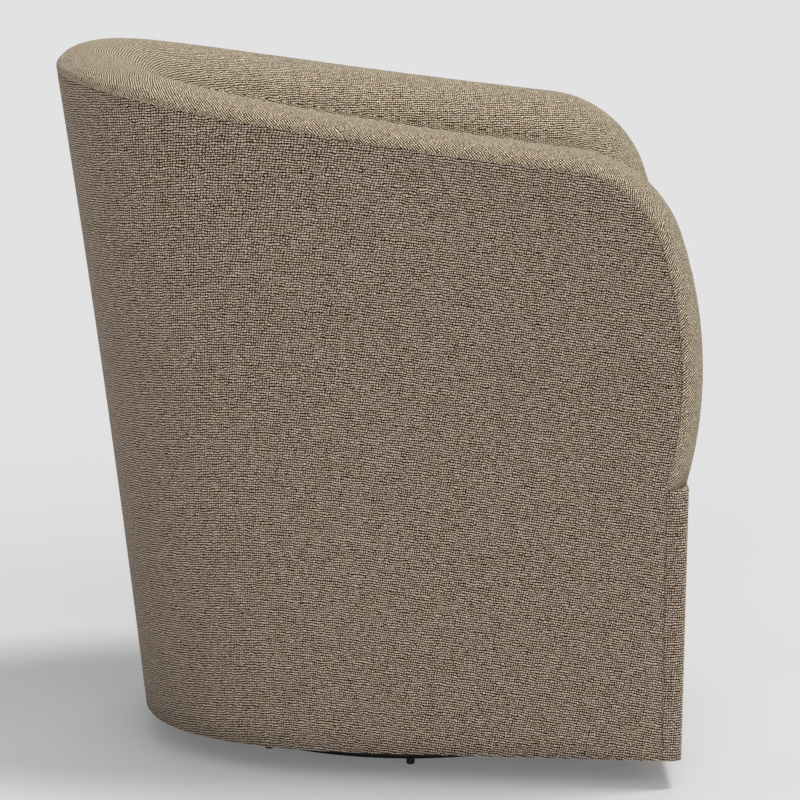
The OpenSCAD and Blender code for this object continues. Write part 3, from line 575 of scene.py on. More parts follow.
def mottleMaterial(name, base, worn, size, rough, metallic=0, bump=0.1, bumpDepth=0.0003):
    mat, tree, shader = newMaterial(name)
    group = placeGroup(tree, mottleGroup, {"Base": (*base, 1), "Worn": (*worn, 1), "Size": size})
    link(tree, objectPlace(tree), group.inputs["Place"])
    link(tree, group.outputs["Colour"], shader.inputs["Base Color"])
    roughBetween(tree, shader, group.outputs["Mask"], rough)
    shader.inputs["Metallic"].default_value = metallic
    bumpInto(tree, shader, group.outputs["Height"], bump, bumpDepth)
    return mat


# The outside wall takes the darker copy (painted shade). The inside, the front panel and the cushion take the
# lighter copy (painted light)
shadedOutsideTweed = tweedMaterial("shadedOutsideTweed", shadedYarns)
litInsideTweed = tweedMaterial("litInsideTweed", litYarns)
frontTweed = tweedMaterial("frontTweed", litYarns)
cushionTweed = tweedMaterial("cushionTweed", litYarns)

mottledLooks = {
    "blackPaint": {"base": (0.012, 0.012, 0.013), "worn": (0.03, 0.03, 0.032), "size": 500,
                   "rough": (0.45, 0.7)},
    "blackNylon": {"base": (0.015, 0.015, 0.016), "worn": (0.03, 0.03, 0.03), "size": 900,
                   "rough": (0.4, 0.6)},
    "zincPlate": {"base": (0.62, 0.61, 0.57), "worn": (0.5, 0.5, 0.5), "size": 260, "rough": (0.28, 0.5),
                  "metallic": 1},
    "screwSteel": {"base": (0.55, 0.54, 0.52), "worn": (0.42, 0.42, 0.42), "size": 700, "rough": (0.3, 0.5),
                   "metallic": 1},
    "pinSteel": {"base": (0.56, 0.56, 0.57), "worn": (0.4, 0.4, 0.41), "size": 500, "rough": (0.22, 0.45),
                 "metallic": 1},
    "ballSteel": {"base": (0.75, 0.75, 0.76), "worn": (0.6, 0.6, 0.62), "size": 600, "rough": (0.08, 0.2),
                  "metallic": 1, "bump": 0.02},
    "whiteNylon": {"base": (0.8, 0.79, 0.75), "worn": (0.7, 0.69, 0.64), "size": 700, "rough": (0.4, 0.55)},
    "springSteel": {"base": (0.2, 0.2, 0.21), "worn": (0.32, 0.3, 0.28), "size": 500, "rough": (0.35, 0.6),
                    "metallic": 1},
    "fibreBoard": {"base": (0.46, 0.33, 0.2), "worn": (0.34, 0.23, 0.13), "size": 800, "rough": (0.8, 0.95),
                   "bump": 0.3},
    "seatFoam": {"base": (0.78, 0.72, 0.5), "worn": (0.68, 0.6, 0.36), "size": 1100, "rough": (0.85, 1.0),
                 "bump": 0.6},
    "deckCloth": {"base": (0.016, 0.016, 0.018), "worn": (0.04, 0.04, 0.042), "size": 1400,
                  "rough": (0.8, 1.0), "bump": 0.5},
    "dustCloth": {"base": (0.014, 0.014, 0.015), "worn": (0.035, 0.035, 0.037), "size": 1800,
                  "rough": (0.85, 1.0), "bump": 0.5},
}
woodLooks = {
    "standingWood": {"early": (0.62, 0.44, 0.26), "late": (0.45, 0.29, 0.15), "direction": (0, 0, 0)},
    "lyingWood": {"early": (0.6, 0.42, 0.25), "late": (0.43, 0.28, 0.15), "direction": (0, math.pi / 2, 0)},
    "plyWood": {"early": (0.7, 0.53, 0.33), "late": (0.55, 0.38, 0.21), "direction": (0, math.pi / 2, 0.3)},
}
finishes = {name: mottleMaterial(name, **look) for name, look in mottledLooks.items()}
finishes.update({name: woodMaterial(name, **look) for name, look in woodLooks.items()})

# The frame's pieces that keep their own shape, under the finish that each of them gets
finishedNodes = {
    "blackPaint": ["base_disc"],
    "blackNylon": ["floor_glides"],
    "zincPlate": ["swivel_lower_plate", "swivel_upper_plate", "spring_clips"],
    "screwSteel": ["lower_plate_screws", "upper_plate_screws"],
    "pinSteel": ["king_pin"],
    "ballSteel": ["bearing_balls"],
    "whiteNylon": ["swivel_washer", "ball_cage"],
    "springSteel": ["seat_springs"],
    "fibreBoard": ["inner_board", "tack_strip", "outer_board"],
    "standingWood": ["lower_posts", "upper_posts", "corner_blocks"],
    "lyingWood": ["swivel_boards"],
    "plyWood": ["bottom_ring", "seat_ring", "top_rail", "arm_formers", "front_board"],
}
for finishName, nodeNames in finishedNodes.items():
    for nodeName in nodeNames:
        nodes[nodeName].data.materials.clear()
        nodes[nodeName].data.materials.append(finishes[finishName])
print("materials made")

# Covers of the wall
cover = {
    "rows": 34, "rowPower": 1.35, "hemRows": 3, "seamRows": 4, "crownRows": 22, "innerRows": 22,
    "seamTuck": 0.0002, "seamRoll": 0.007, "thickness": 0.002, "bandTurn": 48.0, "bandFiner": 1.15,
}


def tuckedIn(away):
    # how far a cover turns into the seam at a distance from it
    t = max(0.0, 1 - away / cover["seamRoll"])
    return cover["seamTuck"] * t ** 2


def outsideSpot(i, j):
    # the outside cover's point in column i and row j, its p and its depth, with the last rows turned in under
    # the hem
    d = barrel["seamDepth"] + barrel["gap"]
    f = min(j / cover["rows"], 1) ** cover["rowPower"]
    top = stations[min(i, columnCount - i)][1]
    e = tuckedIn(f * (top - barrel["hemZ"]))
    if j > cover["rows"]:
        e = barrel["hemTurn"] * (j - cover["rows"]) / cover["hemRows"]
    w, at = wallPoint(i, e, d, f, barrel["hemZ"])
    return w, at, e


def outsidePlace(i, j):
    return outsideSpot(i, j)[0]


# The outside cloth isn't cut square to the floor: its rows climb a little round the back's corners and
# fall toward the arms, by these slopes at each p, and its warp leans forward
grain = {"slopes": [(0, 0), (0.4, -0.09), (0.67, -0.11), (0.8, 0), (0.95, 0.09), (1.2, 0.13), (2.6, 0.16)],
         "lean": 0.2, "leanFrom": 0.3, "leanTo": 1.0, "level": 0.35}


def slopeAt(p):
    for (p0, t0), (p1, t1) in zip(grain["slopes"], grain["slopes"][1:]):
        if p <= p1:
            return mix(t0, t1, (p - p0) / (p1 - p0))
    return grain["slopes"][-1][1]


grainRise = [0.0]
for k in range(1, tape["count"] + 1):
    grainRise.append(grainRise[-1] + slopeAt(k / tape["perUnit"]) * (outerRun[k] - outerRun[k - 1]))


def outsideCloth(i, j, row):
    w, at, e = outsideSpot(i, j)
    p = abs(at)
    high = w.z - (e if j > cover["rows"] else 0)
    share = (p - grain["leanFrom"]) / (grain["leanTo"] - grain["leanFrom"])
    lean = grain["lean"] * min(max(share, 0), 1)
    run = lookUp(outerRun, p) - lean * (high - grain["level"])
    return math.copysign(run, at), high + lookUp(grainRise, p)


def insideRow(j):
    # depth in, depth down and share of the way down for row j of the inside cover
    seam = barrel["seamDepth"]
    if j <= cover["seamRows"]:
        d = mix(seam, barrel["crownOutH"], j / cover["seamRows"])
        return tuckedIn(seam - d), d, 0
    k = j - cover["seamRows"]
    half = cover["crownRows"] // 2
    if k <= half:
        a = math.pi / 2 * k / half
        d = barrel["crownOutH"] * (1 - math.sin(a))
        return barrel["crownOutW"] * (1 - math.cos(a)) + tuckedIn(seam - d), d, 0
    if k <= 2 * half:
        a = math.pi / 2 * (1 - (k - half) / half)
        inW = barrel["wallTop"] - barrel["crownOutW"]
        return barrel["crownOutW"] + inW * math.cos(a), barrel["crownInH"] * (1 - math.sin(a)), 0
    f = (k - 2 * half) / cover["innerRows"]
    return mix(barrel["wallTop"], barrel["wallSeat"], f), barrel["crownInH"], f


insideRowCount = cover["seamRows"] + cover["crownRows"] + cover["innerRows"]
bandRows = cover["seamRows"] + cover["crownRows"] // 2   # the band, cut aslant, goes over the ridge to here
bandRun = [0.0]
for j in range(1, insideRowCount + 1):
    step = Vector(insideRow(j)[:2]) - Vector(insideRow(j - 1)[:2])
    bandRun.append(bandRun[-1] + step.length)
rimRun = rimTable(barrel["crownOutW"], 0)


def insidePlace(i, j):
    # laid from the tuck up, so that its face looks out of the wall
    e, d, f = insideRow(insideRowCount - j)
    return innerPoint(i, e, d, f)


def insideCloth(i, j, row):
    # straight on the wall's inside, aslant on the rim band
    e, d, f = insideRow(insideRowCount - j)
    if row < insideRowCount - bandRows:
        if f:
            return rimRun[i], innerPoint(i, e, d, f).z
        down = bandRun[insideRowCount - j] - bandRun[bandRows]
        return rimRun[i], stations[min(i, columnCount - i)][1] - down
    down = bandRun[insideRowCount - j]
    return turned(rimRun[i] * cover["bandFiner"], -down * cover["bandFiner"], cover["bandTurn"])


def addThickness(obj, thickness):
    solid = obj.modifiers.new("thickness", "SOLIDIFY")
    solid.thickness = thickness
    solid.offset = -1
    return obj


def dress(obj, body, node):
    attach(obj, body)
    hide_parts(node)
    return obj


bm = bmesh.new()
laidGrid(bm, columnCount, cover["rows"] + cover["hemRows"], outsidePlace, outsideCloth)
outsideFabric = addThickness(meshObject("outsideFabric", bm, shadedOutsideTweed), cover["thickness"])
dress(outsideFabric, "seat", "outside_cover")

bm = bmesh.new()
laidGrid(bm, columnCount, insideRowCount, insidePlace, insideCloth)
insideFabric = addThickness(meshObject("insideFabric", bm, litInsideTweed), cover["thickness"])
dress(insideFabric, "seat", "inside_cover")
print("wall covers laid")

# Foam under the inside cover, over the rim and down to the seat
foam = {"thickness": 0.050, "railEdge": 0.0059, "rimDepth": 0.016, "turnRows": 10, "downRows": 12,
        "slackIn": 0.0005, "slackDown": 0.0003}


def foamFace(i, j):
    rows = foam["turnRows"]
    t = barrel["coverT"] + barrel["gap"]
    if j <= 2 * rows:
        a = math.pi / 2 * j / rows
        if j <= rows:
            e = barrel["crownOutW"] - (barrel["crownOutW"] - t) * math.cos(a)
            d = barrel["crownOutH"] - (barrel["crownOutH"] - t) * math.sin(a)
        else:
            a = math.pi - a
            e = barrel["crownOutW"] + (barrel["wallTop"] - barrel["crownOutW"] - t) * math.cos(a)
            d = barrel["crownInH"] - (barrel["crownInH"] - t) * math.sin(a)
        return innerPoint(i, e + foam["slackIn"], d + foam["slackDown"])
    f = (j - 2 * rows) / foam["downRows"]
    e = mix(barrel["wallTop"], barrel["wallSeat"], f) - t - foam["slackIn"]
    return innerPoint(i, e, barrel["crownInH"], f)


def foamBack(i, j):
    rows = foam["turnRows"]
    t = barrel["coverT"] + barrel["gap"]
    inE = barrel["wallTop"] - t - foam["thickness"]
    if j <= rows:
        return innerPoint(i, mix(foam["railEdge"], inE, j / rows), foam["rimDepth"])
    if j <= 2 * rows:
        return innerPoint(i, inE, mix(foam["rimDepth"], barrel["crownInH"], (j - rows) / rows))
    f = (j - 2 * rows) / foam["downRows"]
    e = mix(barrel["wallTop"], barrel["wallSeat"], f) - t - foam["thickness"]
    return innerPoint(i, e, barrel["crownInH"], f)


def closedLayer(name, columns, rows, facePlace, backPlace, material):
    bm = bmesh.new()
    laidGrid(bm, columns, rows, facePlace)
    laidGrid(bm, columns, rows, backPlace)
    rim = [edge for edge in bm.edges if edge.is_boundary]
    bmesh.ops.bridge_loops(bm, edges=rim)
    bmesh.ops.recalc_face_normals(bm, faces=bm.faces)
    return meshObject(name, bm, material)


foamRows = 2 * foam["turnRows"] + foam["downRows"]
insideFoam = closedLayer("insideFoam", columnCount, foamRows, foamFace, foamBack, finishes["seatFoam"])
dress(insideFoam, "seat", "inside_padding")
print("inside foam shaped")

# Front panel
panel = {
    "front": 0.290, "tuck": 0.003, "cornerR": 0.012, "padT": 0.008, "topTurn": 0.012, "rows": 30,
    "turnRows": 2, "flat": 60, "arc": 8, "side": 4, "sideTurn": 0.6, "deckHalfW": 0.300, "deckFade": 0.040,
}
panelTop = barrel["armFootZ"] - barrel["gap"]


def panelY(z):
    share = (z - barrel["hemZ"]) / (barrel["armFootZ"] - barrel["hemZ"])
    return panel["front"] - panel["tuck"] * (1 - share)


def panelHalf(z, inset, back):
    # half of the panel's outline at a height: the flat front, a small round corner and the side
    r = panel["cornerR"] - min(inset, panel["cornerR"] / 2)
    y = -panelY(z) + inset
    side = sideXYZ(y + r, z, inset).x
    rear = sideXYZ(-back, z, inset).x
    line = [(mix(0, side - r, k / panel["flat"]), y) for k in range(panel["flat"])]
    for k in range(panel["arc"] + 1):
        a = math.pi / 2 * k / panel["arc"]
        line.append((side - r + r * math.sin(a), y + r - r * math.cos(a)))
    for k in range(1, panel["side"] + 1):
        line.append((mix(side, rear, k / panel["side"]), mix(y + r, -back, k / panel["side"])))
    return line


def panelLine(z, inset, back):
    half = panelHalf(z, inset, back)
    return [(-x, y) for x, y in reversed(half[1:])] + half


panelBack = armFootY - barrel["seamDepth"]
panelColumns = 2 * (panel["flat"] + panel["arc"] + panel["side"])


def frontLine(j):
    # some rows are turned under at the hem, then the face goes up, then as many are turned in at the top
    turn = panel["turnRows"]
    if j < turn:
        z, inset = barrel["hemZ"], mix(panel["cornerR"], 0, j / turn)
    elif j > panel["rows"] + turn:
        z, inset = panelTop, mix(0, panel["cornerR"], (j - panel["rows"] - turn) / turn)
    else:
        z, inset = mix(barrel["hemZ"], panelTop, (j - turn) / panel["rows"]), 0
    back = panelBack + inset * math.sin(math.radians(barrel["sideSplay"]))
    line = panelLine(z, inset, back)
    if j > panel["rows"] + turn:
        # between the arms the cloth goes on back to the deck
        more = panel["topTurn"] * inset / panel["cornerR"]
        shares = [(panel["deckHalfW"] - abs(x)) / panel["deckFade"] for x, y in line]
        line = [(x, y + more * min(max(share, 0), 1)) for (x, y), share in zip(line, shares)]
    return [Vector((x, y, z)) for x, y in line], inset


frontLines = [frontLine(j) for j in range(panel["rows"] + 2 * panel["turnRows"] + 1)]


def frontPlace(i, j):
    return frontLines[j][0][i]


def frontCloth(i, j, row):
    points, inset = frontLines[j]
    middle = len(points) // 2
    span = points[min(i, middle):max(i, middle) + 1]
    run = sum((b - a).length for a, b in zip(span, span[1:]))
    if j > panel["rows"]:
        over = inset + panel["topTurn"] * inset / panel["cornerR"]
    else:
        over = -inset
    return math.copysign(run, i - middle), points[i].z + over


bm = bmesh.new()
laidGrid(bm, panelColumns, len(frontLines) - 1, frontPlace, frontCloth)
frontFabric = addThickness(meshObject("frontFabric", bm, frontTweed), cover["thickness"])
# faces turned to the sides take the outside's darker copy: painted shade, since the sides face away from the
# light
frontFabric.data.materials.append(shadedOutsideTweed)
for f in frontFabric.data.polygons:
    if abs(f.normal.x) > panel["sideTurn"]:
        f.material_index = 1      # round the corners it meets the sides
dress(frontFabric, "seat", "front_cover")


def panelLayer(inset):
    low = barrel["hemZ"] + barrel["coverT"]
    high = panelTop - barrel["coverT"] - barrel["gap"]

    def place(i, j):
        z = mix(low, high, j / panel["rows"])
        x, y = panelLine(z, inset, 0)[i + 1]
        return Vector((x, y, z))

    return place


frontInset = barrel["coverT"] + barrel["gap"]
frontFoam = closedLayer("frontFoam", panelColumns - 2, panel["rows"], panelLayer(frontInset),
                        panelLayer(frontInset + panel["padT"]), finishes["seatFoam"])
dress(frontFoam, "seat", "front_padding")
print("front panel covered")

# Seat cushion
cushion = {
    "low": 0.327, "border": 0.104, "crown": 0.022, "bulge": 0.005, "draw": 0.005, "drawPower": 1.5,
    "front": 0.294, "cornerR": 0.046, "ease": 0.002, "frontN": 6, "cornerN": 6, "sideN": 10, "roundN": 24,
    "borderN": 8, "underShares": (0.03, 0.3, 0.6, 0.85, 0.95), "underPower": 8, "topPower": 3,
    "topShares": (0.97, 0.92, 0.84, 0.72, 0.58, 0.42, 0.26, 0.12, 0.03), "roundness": 1.6,
    "seamGroove": 0.0025, "seamReach": 0.009, "seamUpTo": 0.97, "seamUpPull": 0.4,
    "frontSwell": 0.006, "wallGap": 0.001, "clothFlat": 0.6,
}
seamLow = cushion["low"] + cushion["crown"] / 3
seamHigh = seamLow + cushion["border"]


def innerDepth(p, z):
    # how deep in the wall's inside lies: its slope runs out where the arm falls to the front
    start = pAt(rimStartY)
    top = rimAt(min(p, start)) - barrel["crownInH"]
    e = mix(barrel["wallTop"], barrel["wallSeat"], min((top - z) / (top - barrel["tuckZ"]), 1))
    share = max(p - start, 0) / (pAt(-armFootY + barrel["crownInH"]) - start)
    return min(mix(e, barrel["wallTop"], share), barrel["wallTop"])


def cushionHalf(z, inset):
    # half of the cushion's outline at a height, from the middle of the front to the middle of the back
    front = cushion["front"] - inset
    sideY = -front + cushion["cornerR"]
    e0 = cushion["ease"] + cushion["bulge"] + inset
    cornerX = wallXYZ(pAt(sideY), z, barrel["wallTop"] + e0).x - cushion["cornerR"]
    line = []
    for k in range(cushion["frontN"]):
        share = k / cushion["frontN"]
        draw = cushion["draw"] * math.cos(math.pi / 2 * share) ** cushion["drawPower"]
        line.append((cornerX * share, draw - front))
    for k in range(cushion["cornerN"] + 1):
        a = math.pi / 2 * k / cushion["cornerN"]
        line.append((cornerX + cushion["cornerR"] * math.sin(a), sideY - cushion["cornerR"] * math.cos(a)))
    for k in range(1, cushion["sideN"] + 1):
        share = k / cushion["sideN"]
        p = mix(pAt(sideY), 1, share)
        draw = cushion["draw"] * math.sin(math.pi * share)
        line.append(tuple(wallXYZ(p, z, innerDepth(p, z) + e0 + draw).xy))
    for k in range(1, cushion["roundN"] + 1):
        p = 1 - k / cushion["roundN"]
        line.append(tuple(wallXYZ(p, z, innerDepth(p, z) + e0).xy))
    return line


def wholeOutline(half):
    return half + [(-x, y) for x, y in reversed(half[1:-1])]


# A tube of rings, and for each of its vertices the ring, from 0 at the bottom, and the place in the ring,
# counted from the front
def ringTube(count, rings, capped):
    bm = bmesh.new()
    bmesh.ops.create_cone(bm, segments=count, radius1=1, radius2=1, depth=1, cap_ends=capped)
    upright = [e for e in bm.edges if abs(e.verts[0].co.z - e.verts[1].co.z) > 0.5]
    bmesh.ops.subdivide_edges(bm, edges=upright, cuts=rings - 2, use_grid_fill=True)
    spots = {}
    for v in bm.verts:
        turn = (math.atan2(v.co.y, v.co.x) + math.pi / 2) / (2 * math.pi)
        spots[v] = (round((v.co.z + 0.5) * (rings - 1)), round(turn * count) % count)
    return bm, spots


# A closed form over levels, each an outline and a height: a tube whose rings are moved out onto them
def levelForm(levels):
    bm, spots = ringTube(len(levels[0][0]), len(levels), True)
    for v, (level, turn) in spots.items():
        outline, z = levels[level]
        v.co = Vector((*outline[turn], z))
    bmesh.ops.recalc_face_normals(bm, faces=bm.faces)
    return bm


def shrunk(outline, share):
    middle = Vector(outline[0]).lerp(Vector(outline[len(outline) // 2]), 0.5)
    return [tuple(middle.lerp(Vector(point), share)) for point in outline]


def cushionLevels():
    levels = []
    low = wholeOutline(cushionHalf(seamLow, 0))
    high = wholeOutline(cushionHalf(seamHigh, 0))
    for share in cushion["underShares"]:
        drop = cushion["crown"] / 3 * (1 - share ** cushion["underPower"])
        levels.append((shrunk(low, share), seamLow - drop))
    for k in range(cushion["borderN"] + 1):
        share = k / cushion["borderN"]
        z = mix(seamLow, seamHigh, share)
        levels.append((wholeOutline(cushionHalf(z, -cushion["bulge"] * math.sin(math.pi * share))), z))
    for share in cushion["topShares"]:
        rise = cushion["crown"] * (1 - share ** cushion["topPower"]) ** (1 / cushion["roundness"])
        levels.append((shrunk(high, share), seamHigh + rise))
    return levels


def applyModifiers(obj):
    depsgraph = bpy.context.evaluated_depsgraph_get()
    made = bpy.data.meshes.new_from_object(obj.evaluated_get(depsgraph))
    obj.modifiers.clear()
    obj.data = made


# How the cushion fills: the remesh's voxel, the cloth's mass and stiffness, and how far a point may move.
# Points near a seam are held, unless the surface there is level
filling = {"voxel": 0.007, "quality": 5, "mass": 0.3, "stretch": 30, "bending": 4, "pressure": 4.0,
           "frames": 20, "mostMove": 0.014, "heldBand": 0.8, "heldUpTo": 0.93}


def simulateCushion(obj):
    # the remeshed cushion fills out under pressure between its two seams
    scene.view_layers[0].objects.active = obj
    remesh = obj.modifiers.new("remesh", "REMESH")
    remesh.mode = "VOXEL"
    remesh.voxel_size = filling["voxel"]
    applyModifiers(obj)
    before = [v.co.copy() for v in obj.data.vertices]
    held = obj.vertex_groups.new(name="seams")
    for v in obj.data.vertices:
        away = min(abs(v.co.z - seamLow), abs(v.co.z - seamHigh))
        if away < filling["voxel"] * filling["heldBand"] and abs(v.normal.z) < filling["heldUpTo"]:
            held.add([v.index], 1.0, "REPLACE")
    cloth = obj.modifiers.new("cloth", "CLOTH")
    cloth.settings.quality = filling["quality"]
    cloth.settings.mass = filling["mass"]
    cloth.settings.tension_stiffness = filling["stretch"]
    cloth.settings.compression_stiffness = filling["stretch"]
    cloth.settings.bending_stiffness = filling["bending"]
    cloth.settings.use_pressure = True
    cloth.settings.uniform_pressure_force = filling["pressure"]
    cloth.settings.vertex_group_mass = "seams"
    cloth.settings.effector_weights.gravity = 0
    cloth.collision_settings.use_collision = False
    for number in range(1, filling["frames"] + 1):
        scene.frame_set(number)
    applyModifiers(obj)
    scene.frame_set(1)
    for v, start in zip(obj.data.vertices, before):
        move = v.co - start
        if move.length > filling["mostMove"]:
            v.co = start + move.normalized() * filling["mostMove"]
        v.co.z = max(v.co.z, cushion["low"])


def keepInRoom(obj):
    # no point of the cushion goes past the wall's cover or the front line
    foremost = -cushion["front"] - cushion["frontSwell"]
    for v in obj.data.vertices:
        z = min(max(v.co.z, seamLow), seamHigh)
        v.co.y = max(v.co.y, foremost)
        if v.co.y < barrel["mid"]:
            most = sideXYZ(v.co.y, z, barrel["wallTop"] + cushion["wallGap"]).x
            v.co.x = math.copysign(min(abs(v.co.x), most), v.co.x)


def sewSeams(obj):
    # the seams are drawn in, unless the surface there is level
    for v in obj.data.vertices:
        for seamZ in (seamLow, seamHigh):
            away = abs(v.co.z - seamZ)
            if away < cushion["seamReach"] and abs(v.normal.z) < cushion["seamUpTo"]:
                pull = cushion["seamGroove"] * (1 - away / cushion["seamReach"]) ** 2
                inward = Vector((v.normal.x, v.normal.y, v.normal.z * cushion["seamUpPull"]))
                v.co -= inward.normalized() * pull


def layWeave(obj):
    # top and bottom take the weave from above, the border takes it from the front or the side
    layer = obj.data.uv_layers.get("weave") or obj.data.uv_layers.new(name="weave")
    for f in obj.data.polygons:
        for k in f.loop_indices:
            co = obj.data.vertices[obj.data.loops[k].vertex_index].co
            if abs(f.normal.z) > cushion["clothFlat"]:
                layer.data[k].uv = (co.x, co.y)
            elif abs(f.normal.y) > abs(f.normal.x):
                layer.data[k].uv = (co.x, co.z)
            else:
                layer.data[k].uv = (co.y, co.z)


bm = levelForm(cushionLevels())
seatCushion = meshObject("seatCushion", bm, cushionTweed)
simulateCushion(seatCushion)
print("cushion simulated")
keepInRoom(seatCushion)
sewSeams(seatCushion)
layWeave(seatCushion)
smooth(seatCushion)
finer = seatCushion.modifiers.new("finer", "SUBSURF")
finer.levels = 1
finer.render_levels = 1
dress(seatCushion, "seat", "seat_cushion")

# A welt of the same cloth, cut on the bias, is sewn into both of the cushion's seams
welt = {"radius": 0.0026, "proud": 0.0008, "sides": 8, "turn": 45.0, "evened": 2, "merge": 0.00002}


def weltLine(surface, seamZ):
    # the seam's line on the cushion's own surface, evened out along its run
    line = [surface.find_nearest(Vector((x, y, seamZ)))[0] for x, y in wholeOutline(cushionHalf(seamZ, 0))]
    for turn in range(welt["evened"]):
        line = [(line[k - 1] + 2 * p + line[(k + 1) % len(line)]) / 4 for k, p in enumerate(line)]
    return line


def weltRing(bm, line):
    count = len(line)
    runs = [0.0]
    for k in range(count):
        runs.append(runs[-1] + (line[(k + 1) % count] - line[k]).length)

    def place(i, j):
        along = (line[(i + 1) % count] - line[(i - 1) % count]).normalized()
        out = along.cross(Vector((0, 0, 1))).normalized()
        a = -2 * math.pi * j / welt["sides"]
        middle = line[i % count] + out * welt["proud"]
        return middle + welt["radius"] * (out * math.cos(a) + Vector((0, 0, math.sin(a))))

    def clothAt(i, j, row):
        return turned(runs[i], 2 * math.pi * welt["radius"] * j / welt["sides"], welt["turn"])

    laidGrid(bm, count, welt["sides"], place, clothAt)


cushionSurface = BVHTree.FromObject(seatCushion, bpy.context.evaluated_depsgraph_get())
bm = bmesh.new()
for seamZ in (seamLow, seamHigh):
    weltRing(bm, weltLine(cushionSurface, seamZ))
bmesh.ops.remove_doubles(bm, verts=bm.verts, dist=welt["merge"])
bmesh.ops.recalc_face_normals(bm, faces=bm.faces)
cushionWelts = meshObject("cushionWelts", bm, cushionTweed)
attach(cushionWelts, "seat")
print("cushion's welts sewn in")

# Deck pad over the springs
deck = {
    "low": 0.2975, "high": 0.3267, "front": 0.2644, "inset": 0.1053, "dip": 0.0012, "dipPitch": 0.084,
    "frontN": 7, "sideN": 8, "roundN": 24, "edgeN": 8, "edgeRound": 0.045,
    "lowShares": (0.03, 0.35, 0.7, 0.94), "highShares": (0.94, 0.8, 0.66, 0.52, 0.38, 0.24, 0.03),
}


def deckOutline(z, e):
    # the barrel's outline at a height and a depth in, with a straight front
    front = sideXYZ(-deck["front"], z, e)
    half = [(front.x * k / deck["frontN"], -deck["front"]) for k in range(deck["frontN"])]
    for k in range(deck["sideN"] + 1):
        half.append(tuple(sideXYZ(mix(-deck["front"], barrel["mid"], k / deck["sideN"]), z, e).xy))
    for k in range(1, deck["roundN"] + 1):
        half.append(tuple(wallXYZ(1 - k / deck["roundN"], z, e).xy))
    return wholeOutline(half)


def deckLevels():
    whole = deckOutline(deck["low"], deck["inset"])
    middle = (deck["low"] + deck["high"]) / 2
    halfHigh = (deck["high"] - deck["low"]) / 2
    levels = [(shrunk(whole, share), deck["low"]) for share in deck["lowShares"]]
    for k in range(1, deck["edgeN"]):
        a = math.pi * k / deck["edgeN"] - math.pi / 2
        share = 1 - deck["edgeRound"] * (1 - math.cos(a) ** 0.5)
        levels.append((shrunk(whole, share), middle + halfHigh * math.sin(a)))
    return levels + [(shrunk(whole, share), deck["high"]) for share in deck["highShares"]]


bm = levelForm(deckLevels())
for v in bm.verts:
    if v.co.z > deck["high"] - deck["dip"] / 2:      # the pad sinks a little between the springs
        v.co.z -= deck["dip"] * (0.5 - 0.5 * math.cos(v.co.x / deck["dipPitch"] * 2 * math.pi))
deckPad = meshObject("deckPad", bm, finishes["deckCloth"])
dress(deckPad, "seat", "seat_deck")
print("deck pad made")

# Dust cloth under the frame, with a round hole over the swivel
dust = {"high": 0.0327, "thickness": 0.001, "hole": 0.159, "inset": 0.022, "rings": 8}
outline = deckOutline(dust["high"], dust["inset"])
bm, spots = ringTube(len(outline), dust["rings"] + 1, False)
for v, (level, turn) in spots.items():
    outer = Vector(outline[turn])
    at = (outer.normalized() * dust["hole"]).lerp(outer, level / dust["rings"])
    v.co = Vector((*at, dust["high"]))
bm.normal_update()
bmesh.ops.reverse_faces(bm, faces=[f for f in bm.faces if f.normal.z < 0])
dustSheet = addThickness(meshObject("dustSheet", bm, finishes["dustCloth"]), dust["thickness"])
dress(dustSheet, "seat", "dust_cover")
print("dust cloth laid")

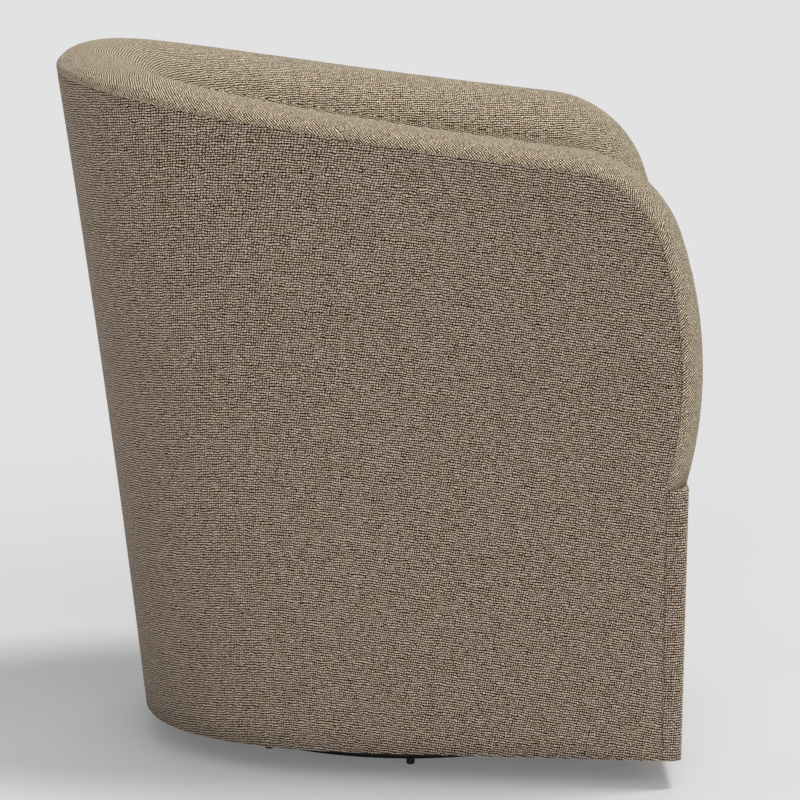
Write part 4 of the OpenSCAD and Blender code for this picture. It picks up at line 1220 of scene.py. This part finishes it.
# Floor and world
stageLook = {
    "floor": (0.76, 0.76, 0.765), "floorSeen": (0.61, 0.61, 0.614), "floorLift": (0.16, 0.16, 0.16),
    "floorSize": 60, "backdrop": (0.76, 0.76, 0.764), "ambient": 0.095, "lampsAway": 3,
}
bm = bmesh.new()
bmesh.ops.create_grid(bm, x_segments=1, y_segments=1, size=stageLook["floorSize"])
floorMat, tree, shader = newMaterial("paleFloor")
setSockets(shader, {"Roughness": 1.0, "Emission Strength": 1.0, "Specular IOR Level": 0.0})
toCamera = tree.nodes.new("ShaderNodeLightPath").outputs["Is Camera Ray"]
floorColour = mixColour(tree, toCamera, stageLook["floor"], stageLook["floorSeen"])
floorGlow = mixColour(tree, toCamera, (0.0, 0.0, 0.0), stageLook["floorLift"])
link(tree, floorColour, shader.inputs["Base Color"])
link(tree, floorGlow, shader.inputs["Emission Color"])
floor = meshObject("floor", bm, floorMat)

world = bpy.data.worlds.new("world")
scene.world = world
world.use_nodes = True
tree = world.node_tree
background = tree.nodes["Background"]
setSockets(background, {"Color": (1, 1, 1, 1), "Strength": stageLook["ambient"]})
seen = tree.nodes.new("ShaderNodeBackground")
seen.inputs["Color"].default_value = (*stageLook["backdrop"], 1)
path = tree.nodes.new("ShaderNodeLightPath")
either = mathNode(tree, "MAXIMUM", path.outputs["Is Camera Ray"], path.outputs["Is Glossy Ray"])
either = mathNode(tree, "MAXIMUM", either, path.outputs["Is Transmission Ray"])
blend = tree.nodes.new("ShaderNodeMixShader")
link(tree, either, blend.inputs[0])
link(tree, background.outputs[0], blend.inputs[1])
link(tree, seen.outputs[0], blend.inputs[2])
link(tree, blend.outputs[0], tree.nodes["World Output"].inputs["Surface"])

# Broad soft lamps, each given by where it stands as seen from the chair (degrees) and how wide it is
lamps = {
    "key": {"round": 0, "up": 70, "spread": 16, "power": 1.57},
    "beyond": {"round": 90, "up": 45, "spread": 40, "power": 0.63},
    "behind": {"round": 180, "up": 45, "spread": 50, "power": 0.19},
    "fill": {"round": -45, "up": 30, "spread": 50, "power": 0.63},
    "side": {"round": -90, "up": 30, "spread": 50, "power": 0.85},
}
for lampName, look in lamps.items():
    lamp = bpy.data.lights.new(lampName, "SUN")
    lamp.angle = math.radians(look["spread"])
    lamp.energy = look["power"]
    lampObject = bpy.data.objects.new(lampName, lamp)
    up = math.radians(look["up"])
    turn = math.radians(look["round"])
    toLamp = Vector((math.sin(turn) * math.cos(up), -math.cos(turn) * math.cos(up), math.sin(up)))
    lampObject.location = toLamp * stageLook["lampsAway"]
    lampObject.rotation_euler = toLamp.to_track_quat("Z", "Y").to_euler()
    scene.collection.objects.link(lampObject)
print("stage set")
